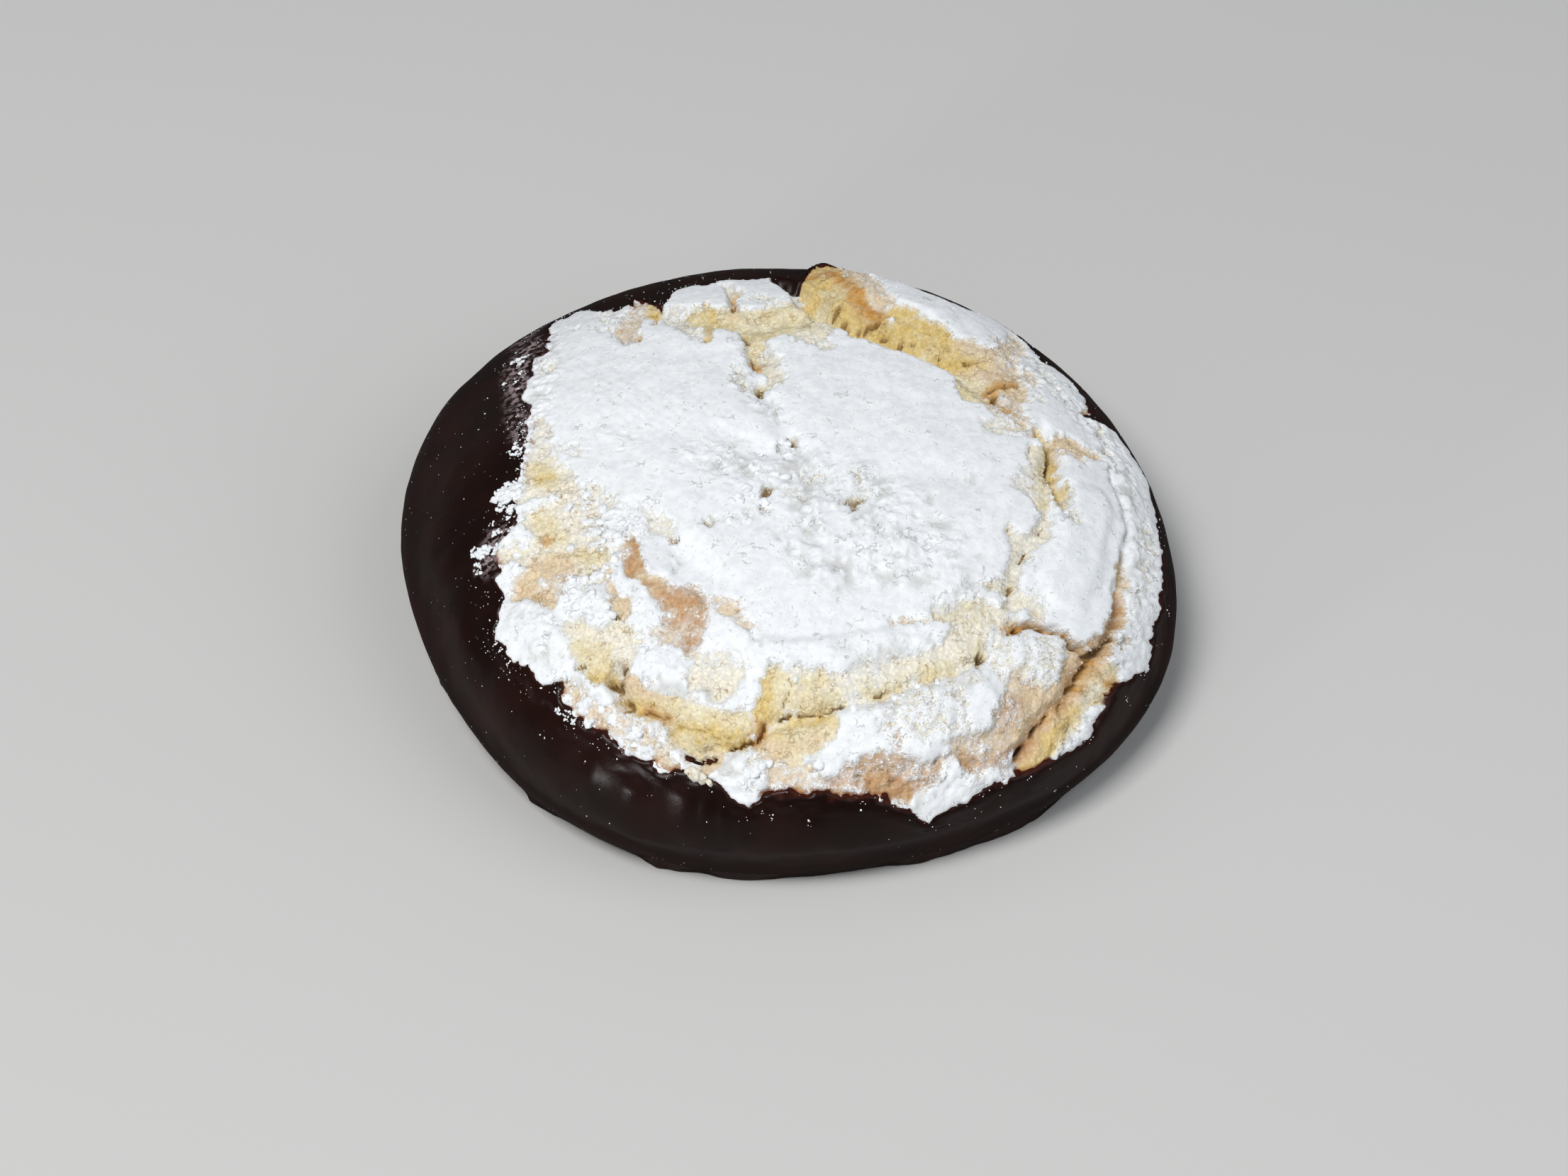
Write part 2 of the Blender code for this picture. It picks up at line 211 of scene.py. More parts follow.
def relief(points, strokes, wall):
    """Height of a group of strokes: the fourth number, full inside, falling off in a share of the width."""
    height = np.zeros(len(points))
    for stroke in strokes:
        width, amount = np.array(stroke, float).T[2:4]
        for distance, along, start, end in stroke_parts(points, stroke):
            half = width[start] + along * (width[end] - width[start])
            size = amount[start] + along * (amount[end] - amount[start])
            height = np.maximum(height, size * smooth_step(0, wall, 1 - distance / half))
    return height


# %% [markdown]
# ## Cracks and plates
#
# The crust sets in the oven while the middle still rises, so it splits into plates and the soft
# crumb shows between them. The widest crack leaves a raised shelf at the back. Each crack is a
# chain of points: x, y, half width and depth; each plate has a height instead. A hollow is a wide,
# shallow dent without an edge, written like a crack.

# %% Where the crust splits
CRACKS = {
    "back shelf": (
        (-0.2, 22.6, 1.0, 1.0), (1.6, 20.0, 1.6, 1.7), (3.8, 16.8, 2.1, 2.3), (6.6, 15.0, 2.2, 2.3),
        (9.6, 13.5, 2.2, 2.0), (12.3, 11.6, 2.1, 1.5), (14.4, 9.6, 1.8, 0.8), (15.6, 7.6, 1.3, 0.5),
        (16.6, 6.2, 0.9, 0.4),
    ),
    "right slit": (
        (19.9, 4.2, 1.0, 0.4), (20.6, 2.2, 1.1, 0.8), (20.7, -0.6, 1.1, 0.9), (21.0, -3.2, 0.9, 0.9),
        (21.2, -4.8, 0.6, 0.5),
    ),
    "right fold": (
        (20.2, -5.2, 0.8, 0.3), (19.6, -7.5, 0.9, 0.35), (18.3, -10.2, 1.0, 0.4), (17.1, -12.2, 0.9, 0.3),
        (17.0, -13.9, 0.9, 0.35), (16.9, -16.4, 0.8, 0.4),
    ),
    "lower slit": (
        (16.8, -17.2, 0.4, 0.3), (17.2, -16.6, 0.6, 0.7), (18.7, -16.3, 0.5, 0.7),
        (19.5, -16.3, 0.5, 0.8), (20.6, -16.1, 0.5, 0.6), (21.9, -16.8, 0.6, 0.9),
        (22.9, -17.2, 0.7, 0.9),
    ),
    "lower groove": (
        (24.7, -15.2, 0.6, 0.5), (23.6, -16.7, 1.0, 0.6), (22.9, -18.0, 1.0, 0.6),
        (21.9, -19.2, 1.2, 0.5), (21.1, -20.5, 1.2, 0.6), (19.9, -21.8, 1.3, 0.5),
        (18.8, -23.1, 1.3, 0.6), (18.1, -24.0, 1.2, 0.7), (17.2, -25.2, 1.2, 0.7),
    ),
    "outer groove": (
        (24.2, -15.2, 0.7, 0.9), (25.3, -12.9, 0.8, 0.8), (25.1, -11.2, 0.8, 0.7), (25.6, -9.0, 0.7, 0.6),
        (25.9, -7.0, 0.65, 0.5), (26.3, -5.0, 0.6, 0.4), (26.3, -2.5, 0.6, 0.35), (25.8, -0.4, 0.6, 0.3),
        (25.2, 1.5, 0.6, 0.2),
    ),
    "front crack": (
        (-11.0, -23.4, 0.9, 0.6), (-8.6, -24.6, 0.9, 0.5), (-6.4, -27.3, 1.0, 1.2),
        (-4.2, -27.0, 0.9, 0.8), (-2.0, -26.2, 0.9, 0.7), (-0.4, -25.2, 1.0, 0.6), (1.8, -25.0, 0.9, 0.7),
        (3.8, -24.3, 0.9, 0.6), (7.2, -23.2, 0.9, 0.6), (12.2, -21.2, 0.8, 0.4), (14.7, -19.7, 0.7, 0.6),
        (15.6, -18.4, 0.6, 0.4),
    ),
    "left bare patch": (
        (-11.2, -10.2, 0.9, 0.4), (-10.9, -12.6, 1.2, 0.4), (-9.2, -15.0, 1.3, 0.4),
        (-7.6, -17.2, 2.0, 0.4), (-7.2, -19.0, 1.4, 0.3),
    ),
    "front left pits": ((-12.1, -20.2, 0.7, 0.8), (-12.5, -21.6, 0.9, 1.1), (-11.7, -23.0, 0.8, 0.9)),
    "top bare band": (
        (-10.0, 17.0, 1.6, 0.4), (-6.2, 15.4, 1.8, 0.5), (-3.0, 15.0, 1.8, 0.6), (1.0, 16.0, 1.8, 0.8),
    ),
    "top notch": (
        (-3.1, 13.6, 0.7, 0.4), (-2.9, 12.4, 0.7, 0.4), (-2.5, 10.2, 0.6, 0.35), (-1.9, 8.6, 0.5, 0.25),
    ),
    "top slit": ((-4.4, 20.6, 0.5, 0.3), (-4.2, 19.2, 0.5, 0.6), (-4.2, 17.2, 0.45, 0.5)),
}

print(len(CRACKS), "cracks with", sum(map(len, CRACKS.values())), "points")

# %% Where the crust stands up or sinks
PLATES = {
    "back shelf": (
        (3.4, 25.0, 2.4, 0.5), (6.4, 21.4, 3.0, 0.9), (11.8, 17.8, 3.0, 0.9), (16.4, 13.4, 2.6, 0.6),
    ),
    "right side": ((23.4, -3.4, 2.2, 0.35), (22.4, -9.0, 2.8, 0.4), (21.0, -12.8, 2.6, 0.4)),
    "lower right": ((17.4, -18.8, 2.2, 0.5), (19.4, -18.4, 2.2, 0.6)),
    "front bulge": ((5.4, -26.2, 2.6, 0.4), (10.0, -24.8, 3.4, 0.6), (14.0, -22.8, 2.8, 0.5)),
    "front lobe": ((-3.4, -28.3, 1.4, 0.2), (-2.2, -28.3, 1.3, 0.2)),
    "left lobes": ((-13.8, -16.0, 1.6, 0.4), (-15.0, -14.4, 1.2, 0.3)),
    "left rim": ((-19.4, -14.6, 1.8, 0.3), (-17.8, -17.0, 2.0, 0.4)),
    "front left rim": ((-9.4, -21.0, 1.7, 0.16), (-10.4, -25.6, 1.4, 0.3)),
    "toasted ridge": (
        (-11.2, -10.4, 0.8, 0.5), (-11.0, -12.4, 0.9, 0.5), (-9.6, -14.4, 1.0, 0.5),
        (-7.2, -16.4, 1.6, 0.5),
    ),
    "main plate rim": ((-2.0, -20.6, 1.4, 0.4), (4.0, -20.4, 1.6, 0.4), (8.0, -19.2, 1.4, 0.3)),
}

HOLLOWS = {
    "left fold": ((-10.0, -8.4, 1.8, 0.4), (-8.0, -11.4, 2.6, 0.7), (-5.0, -14.6, 2.0, 0.5)),
    "middle fold": ((-5.0, 0.6, 1.6, 0.25), (-1.6, -1.4, 1.6, 0.4), (1.4, -1.6, 1.6, 0.3)),
    "middle": ((1.4, -3.6, 2.4, 0.35), (5.2, -6.0, 2.4, 0.35)),
    "top": ((-2.2, 11.0, 1.8, 0.4), (-2.0, 6.6, 1.6, 0.35), (-0.8, 3.0, 1.4, 0.3), (0.4, 0.0, 1.3, 0.3)),
    "right of the middle": ((8.0, -3.4, 2.4, 0.25), (14.0, -3.2, 2.4, 0.25)),
    "back edge": ((7.0, 27.0, 2.6, 0.4), (11.0, 25.0, 2.8, 0.7), (15.0, 22.4, 2.6, 0.6)),
}

LUMPS = ((0.26, 6.5), (0.1, 2.6), (0.07, 1.3))  # height and spacing in mm
print(len(PLATES), "plates and", len(HOLLOWS), "hollows")

# %% [markdown]
# ## Pits
#
# Steam and falling crumbs leave pits, deepest at the foot of the cracks. A pit is written as a
# short stroke: its start, its run in x and y, its half width and its depth. Nicks are written the
# same way. They are shallower and stay in the sugar, while a pit lays the crumb bare. The finish
# paints grey shade into the nicks and dark brown shade into the pits.

# %% Pits
PITS = {
    "shelf foot": (
        (4.1, 18.4, 0.3, 0.0, 0.36, 0.8), (4.9, 17.5, 0.2, -0.6, 0.28, 0.6),
        (6.7, 16.5, 0.8, -0.1, 0.3, 0.6), (5.9, 16.8, 0.2, -0.1, 0.2, 0.4),
        (8.0, 15.6, 0.5, -0.1, 0.18, 0.5), (9.2, 14.6, 0.4, 0.1, 0.3, 0.8),
        (10.4, 14.5, 0.1, 0.0, 0.26, 0.7), (14.5, 11.6, 0.2, -0.1, 0.32, 0.6),
        (15.4, 11.7, 0.1, 0.0, 0.26, 0.5), (12.5, 12.8, 0.1, 0.0, 0.26, 0.5),
        (5.3, 20.8, 0.1, 0.1, 0.24, 0.5), (3.2, 22.6, 0.2, -0.1, 0.24, 0.5),
        (16.5, 7.6, 0.2, -1.2, 0.35, 0.7), (16.2, 8.2, 0.9, 0.5, 0.2, 0.5),
        (17.2, 8.8, 1.6, 0.7, 0.22, 0.5), (16.9, 5.8, 0.7, -0.7, 0.15, 0.3),
    ),
    "right slit": (
        (20.6, 2.4, 0.1, -1.0, 0.28, 0.8), (20.7, 1.4, -0.2, -1.6, 0.3, 1.2),
        (20.5, -0.1, 0.0, -1.1, 0.3, 1.2), (20.8, -2.0, 0.1, -1.9, 0.28, 1.2),
        (19.6, 3.9, 0.5, -0.8, 0.2, 0.4),
    ),
    "right fold": (
        (19.6, -7.3, -0.1, -0.3, 0.18, 0.5), (18.3, -9.8, -0.3, -0.8, 0.2, 0.6),
        (17.0, -13.2, -0.3, -0.5, 0.25, 0.7), (16.9, -7.9, 0.2, -0.6, 0.2, 0.4),
    ),
    "lower slit": (
        (16.5, -17.2, 0.1, -0.1, 0.18, 0.5), (17.1, -16.8, 0.2, 0.3, 0.36, 1.0),
        (18.4, -16.2, 0.4, 0.1, 0.28, 1.0), (19.2, -16.2, 0.4, 0.0, 0.32, 1.3),
        (20.4, -16.2, 1.2, -0.4, 0.28, 1.2), (21.4, -16.8, 0.8, -0.1, 0.36, 1.4),
        (14.4, -19.3, 0.4, -0.3, 0.36, 0.9), (14.6, -20.0, 0.0, -0.4, 0.2, 0.4),
    ),
    "lower groove": (
        (24.9, -14.8, -0.9, -1.1, 0.33, 0.9), (23.8, -16.1, -0.9, -1.0, 0.38, 1.0),
        (23.1, -17.0, -1.2, -2.0, 0.36, 0.7), (21.9, -19.3, -0.5, -0.7, 0.3, 0.5),
        (20.9, -20.8, -0.3, -0.5, 0.2, 0.4), (19.7, -22.1, -0.5, -0.5, 0.22, 0.4),
        (18.9, -23.0, -0.2, -0.5, 0.34, 0.6), (18.0, -24.3, -0.5, -0.6, 0.34, 0.9),
        (24.6, -17.9, 0.9, 0.3, 0.16, 0.4),
    ),
    "front crack": (
        (1.0, -24.9, 1.2, 0.3, 0.22, 0.6), (2.6, -24.6, 1.2, 0.5, 0.2, 0.6),
        (3.5, -24.1, 0.8, 0.1, 0.28, 0.6), (0.3, -24.9, -0.6, -0.1, 0.28, 0.6),
        (0.3, -23.4, -0.4, -0.8, 0.15, 0.4), (0.3, -22.3, 0.1, -0.8, 0.15, 0.3),
        (6.8, -23.1, 0.4, 0.1, 0.22, 0.5), (-1.6, -25.4, -0.4, -0.9, 0.24, 0.6),
        (-2.4, -26.5, -1.6, -0.5, 0.25, 0.7), (-7.3, -27.2, 0.6, -0.3, 0.25, 1.0),
        (-6.6, -27.5, 1.3, 0.0, 0.26, 1.0), (-10.2, -24.0, 0.9, -0.3, 0.22, 0.5),
        (-9.2, -24.3, 0.9, -0.3, 0.2, 0.4), (-7.8, -25.3, 2.4, -0.4, 0.2, 0.3),
        (-6.0, -26.1, 2.6, 0.0, 0.18, 0.3), (-4.6, -24.9, 1.2, -0.1, 0.14, 0.2),
    ),
    "left": (
        (-12.0, -20.2, 0.0, -0.6, 0.22, 0.7), (-13.0, -21.6, 0.9, -0.1, 0.3, 1.0),
        (-12.2, -21.5, 0.0, -0.4, 0.25, 0.8), (-11.9, -22.9, 0.6, -0.4, 0.25, 0.7),
        (-11.8, -23.6, 0.6, 0.0, 0.3, 0.4), (-15.3, -19.8, 0.4, -0.2, 0.25, 0.5),
        (-14.9, -12.4, 0.6, 0.2, 0.22, 0.7), (-14.3, -13.1, 0.5, -0.4, 0.18, 0.4),
        (-16.8, -10.3, 0.6, -0.5, 0.15, 0.3), (-16.9, -5.2, 0.4, -0.6, 0.13, 0.3),
        (-13.6, -8.1, 0.3, -0.3, 0.17, 0.4), (-14.6, -6.8, 0.3, 0.0, 0.15, 0.3),
        (-13.6, -10.0, 0.0, -0.5, 0.13, 0.3), (-12.6, -16.8, 0.3, 0.0, 0.2, 0.4),
        (-12.6, -15.6, 0.0, -1.2, 0.13, 0.3), (-11.5, -17.7, 0.1, -0.6, 0.13, 0.3),
        (-18.9, -12.9, 1.0, -1.5, 0.13, 0.25),
    ),
    "top": (
        (-10.6, 15.8, 0.1, -0.6, 0.2, 0.6), (-11.6, 13.6, 0.1, -0.5, 0.27, 0.5),
        (-4.3, 19.2, 0.0, -0.9, 0.17, 0.8), (-4.2, 18.0, 0.1, -1.0, 0.17, 0.8),
        (-3.2, 13.4, 0.1, -0.8, 0.3, 0.6), (-2.6, 10.6, 0.1, -1.0, 0.22, 0.4),
        (-1.8, 8.8, 0.1, -0.4, 0.17, 0.4), (-1.9, 6.5, -0.2, -1.2, 0.3, 0.9),
        (-10.2, 19.2, 0.2, -1.2, 0.2, 0.4), (-16.7, 16.8, 0.0, -0.4, 0.24, 0.7),
        (-4.6, 16.4, 0.1, -0.7, 0.15, 0.3),
    ),
    "middle": (
        (-1.2, -5.2, -0.4, -0.9, 0.36, 0.7), (-1.9, -7.3, 0.1, -0.1, 0.22, 0.5),
        (5.6, -6.1, -0.7, -0.2, 0.42, 0.6), (5.2, -6.8, 0.2, -0.5, 0.3, 0.5),
        (-6.0, -8.8, 0.3, -0.4, 0.3, 0.6), (-5.5, -8.6, 0.3, 0.2, 0.2, 0.4),
        (-8.5, -9.9, 0.5, -0.1, 0.25, 0.6), (0.5, 0.0, 0.1, -0.6, 0.22, 0.5),
        (0.2, 0.2, -0.9, -0.9, 0.15, 0.3), (-2.0, -1.4, 1.6, 0.5, 0.15, 0.4),
    ),
}

print(sum(map(len, PITS.values())), "pits in the crumb")

# %% Nicks
NICKS = (
    (-12.6, 1.2, 1.0, -0.6, 0.2, 0.3), (-13.6, 1.8, 0.0, -0.5, 0.13, 0.3),
    (-12.7, -0.6, 0.2, -0.1, 0.16, 0.3), (-0.8, 3.4, 0.3, -1.7, 0.16, 0.4),
    (7.6, -3.7, 0.1, -0.7, 0.3, 0.3), (14.6, -2.6, -0.3, -1.0, 0.3, 0.3),
    (10.9, -6.4, 0.3, 0.9, 0.35, 0.3), (9.7, -7.6, 0.2, -0.3, 0.25, 0.3),
    (5.7, -8.3, 0.4, -0.3, 0.2, 0.3), (13.7, -9.3, 0.0, -0.2, 0.16, 0.4),
    (2.1, -8.6, 0.2, -0.8, 0.2, 0.3), (2.8, -8.7, 0.2, -0.1, 0.16, 0.3),
    (8.3, -11.8, 0.8, -0.2, 0.25, 0.3), (12.4, -11.4, 0.8, 0.5, 0.3, 0.25),
    (14.4, -11.2, 0.6, 0.2, 0.3, 0.25), (0.2, -11.6, 0.3, 0.2, 0.35, 0.3),
    (4.1, -15.0, 0.1, -0.5, 0.16, 0.3), (3.2, -7.0, 0.1, -0.3, 0.13, 0.3),
    (7.0, -9.9, 0.9, 0.4, 0.16, 0.3), (13.2, -13.9, 0.6, 0.4, 0.3, 0.3),
    (-3.0, -18.2, 0.8, -1.4, 0.13, 0.3), (-2.2, -19.6, 0.8, -0.6, 0.12, 0.3),
    (-8.4, -12.6, 0.1, -0.7, 0.2, 0.3), (20.2, 14.6, 0.2, -1.6, 0.2, 0.3),
    (20.6, 12.6, 1.2, -2.4, 0.22, 0.3), (21.8, 10.2, 0.5, -1.4, 0.22, 0.3),
    (24.6, 7.0, 0.7, -2.0, 0.25, 0.3), (25.3, 2.4, 0.1, -2.4, 0.2, 0.4),
    (25.5, 0.0, 0.7, -2.2, 0.18, 0.4), (26.3, -2.6, 0.1, -1.4, 0.18, 0.4),
    (26.4, -4.4, -0.2, -1.2, 0.2, 0.5), (27.6, -7.0, 0.6, -0.6, 0.25, 0.3),
    (28.0, -8.6, 0.2, -0.6, 0.2, 0.3), (0.5, 2.6, 0.1, -0.2, 0.14, 0.3), (7.3, 1.4, 0.6, -0.8, 0.13, 0.2),
    (-5.8, -3.2, 0.1, 0.0, 0.15, 0.3), (-5.4, -4.4, 0.0, -0.1, 0.13, 0.3),
    (-0.7, -3.2, 0.0, -0.6, 0.14, 0.4), (2.8, -5.4, 0.3, -0.5, 0.16, 0.3),
    (7.2, -7.1, 0.3, 0.3, 0.13, 0.4), (5.4, -8.3, 0.5, 0.7, 0.14, 0.4), (9.6, -9.6, 0.3, 0.4, 0.14, 0.4),
    (-4.5, -8.7, 0.9, 0.5, 0.28, 0.2), (-0.6, -10.0, 0.3, -0.8, 0.2, 0.3),
    (0.2, -11.2, 0.2, -1.0, 0.22, 0.3), (1.5, -10.8, 1.1, -0.1, 0.24, 0.2),
    (2.0, -11.4, -0.1, -1.0, 0.13, 0.25), (4.2, -11.4, 0.2, 0.1, 0.22, 0.3),
    (5.4, -11.3, 0.1, 0.0, 0.18, 0.3), (4.8, -12.0, 0.3, -0.8, 0.14, 0.35),
    (8.0, -11.6, 0.5, -0.5, 0.15, 0.4), (8.5, -12.0, 0.9, 0.3, 0.15, 0.4),
    (8.3, -13.5, 0.4, 0.2, 0.22, 0.3), (1.0, -13.2, 0.3, -0.3, 0.18, 0.2),
    (-4.8, -12.4, 0.4, -0.6, 0.16, 0.3), (-8.4, -11.0, 0.5, -1.2, 0.2, 0.4),
    (-8.4, -12.6, 0.1, -0.8, 0.22, 0.3),
)


def short_stroke(x, y, run_x, run_y, half, deep):
    """A pit as a stroke of two points."""
    return (x, y, half, deep), (x + run_x, y + run_y + 0.01, half, deep)


pit_strokes = [short_stroke(*pit) for group in PITS.values() for pit in group]
nick_strokes = [short_stroke(*nick) for nick in NICKS]
print(len(nick_strokes), "nicks in the sugar, placed by hand")

# %% [markdown]
# ## Where the sugar lies
#
# Icing sugar covers the whole top like thick white paint, and it is missing where the crust tore or
# was rubbed. So the crust starts out white and strokes are laid on it in order, as a painter would:
# mostly the bare and dusty places first, then the white patches that stayed on top of them. A look
# has three values: the level of the sugar, from -1, bare, to 1, thick; the tone of the crumb below,
# from cream and gold to tan and toasted; and how soft the outline of the stroke is, in mm. A stroke
# is its look and its points: x, y and half width. Dabs are strokes of one point each.

# %% Bare crumb and its tones
LOOKS = {
    "white": (1.0, None, 0.6), "thin": (0.35, None, 1.1), "mottled": (0.1, None, 1.0),
    "veil": (0.3, "cream", 1.0),
    "cream": (-1.0, "cream", 1.3), "dusty cream": (-0.3, "cream", 1.3),
    "pale": (-1.1, "pale", 0.8), "dusty pale": (-0.5, "pale", 1.0),
    "gold": (-1.1, "gold", 0.7), "amber": (-1.1, "amber", 0.5),
    "tan": (-1.0, "tan", 0.8), "dusty tan": (-0.3, "tan", 1.0),
    "toast": (-1.0, "toast", 0.7), "dusty toast": (-0.3, "toast", 1.0),
}
TONES = ("cream", "gold", "amber", "tan", "toast")


def dabs(look, *points):
    """Several strokes of one point each, all with the same look."""
    return [(look, point) for point in points]


print(len(LOOKS), "looks and", len(TONES), "tones")

# %% Sugar and crumb at the back left
TOP_SIDE = (
    ("dusty tan", (-11.8, 20.6, 0.6), (-11.6, 19.4, 0.9), (-11.6, 18.0, 1.0), (-12.4, 16.4, 1.3),
     (-12.8, 14.8, 1.2), (-12.4, 13.2, 0.8)),
    ("thin", (-14.6, 18.4, 1.0), (-14.2, 16.0, 1.2)),
    ("dusty cream", (-9.2, 17.4, 0.9), (-8.8, 15.9, 1.3), (-7.6, 14.6, 1.3), (-6.8, 13.2, 0.8)),
    ("pale", (-7.2, 16.6, 0.9), (-5.4, 15.7, 1.5), (-3.0, 15.2, 1.9), (-1.2, 14.8, 2.2),
     (0.6, 16.2, 2.3), (1.8, 15.0, 2.6), (2.6, 13.4, 1.4)),
    ("dusty tan", (0.7, 20.6, 0.5), (1.2, 19.6, 0.9), (1.9, 18.2, 0.8)),
    ("mottled", (-2.2, 18.9, 0.7), (-0.8, 18.4, 0.8)), ("cream", (1.4, 12.9, 0.8), (2.8, 12.6, 1.0)),
    ("dusty cream", (3.2, 11.6, 0.7)),
    ("gold", (-6.2, 17.9, 0.2), (-6.0, 16.4, 0.3), (-5.8, 15.6, 0.3), (-6.0, 14.0, 0.25),
     (-6.1, 12.0, 0.25)),
    # Tan and amber along the top slit: the crumb's own darker tone, and painted shade in the slit.
    ("cream", (-4.6, 21.0, 0.4), (-4.1, 19.6, 0.6)), ("tan", (-4.2, 19.4, 0.4), (-4.2, 17.0, 0.35)),
    ("amber", (-4.25, 19.3, 0.2), (-4.1, 17.2, 0.15)),
    ("gold", (-10.7, 19.2, 0.35), (-10.4, 17.2, 0.45), (-10.4, 15.4, 0.15)),
    ("tan", (-11.7, 13.9, 0.25), (-11.7, 12.8, 0.2)), ("pale", (-2.6, 13.0, 0.9), (-2.3, 11.6, 0.6)),
    ("pale", (-2.5, 11.0, 0.5), (-2.4, 9.4, 0.5), (-1.8, 8.8, 0.35)),
    # Amber in the top notch: darker crumb, and painted shade in the notch.
    ("amber", (-2.6, 9.6, 0.2), (-2.3, 9.2, 0.2)),
    ("cream", (-1.4, 10.6, 0.4), (-1.0, 9.0, 0.7), (-0.6, 7.4, 0.7), (-1.4, 6.6, 0.5)),
    ("dusty cream", (-3.8, 8.8, 0.3), (-3.6, 7.2, 0.5), (-3.2, 6.2, 0.4)),
    ("pale", (-2.0, 6.6, 0.35), (-2.2, 5.4, 0.35)),
    *dabs("white", (-2.6, 8.1, 0.3), (-2.1, 7.5, 0.35), (-9.9, 16.2, 0.35)),
    ("white", (4.2, 14.3, 0.4), (4.1, 12.8, 0.6)), ("thin", (-19.6, 12.0, 0.5), (-18.8, 11.0, 0.8)),
)
print(len(TOP_SIDE), "strokes")

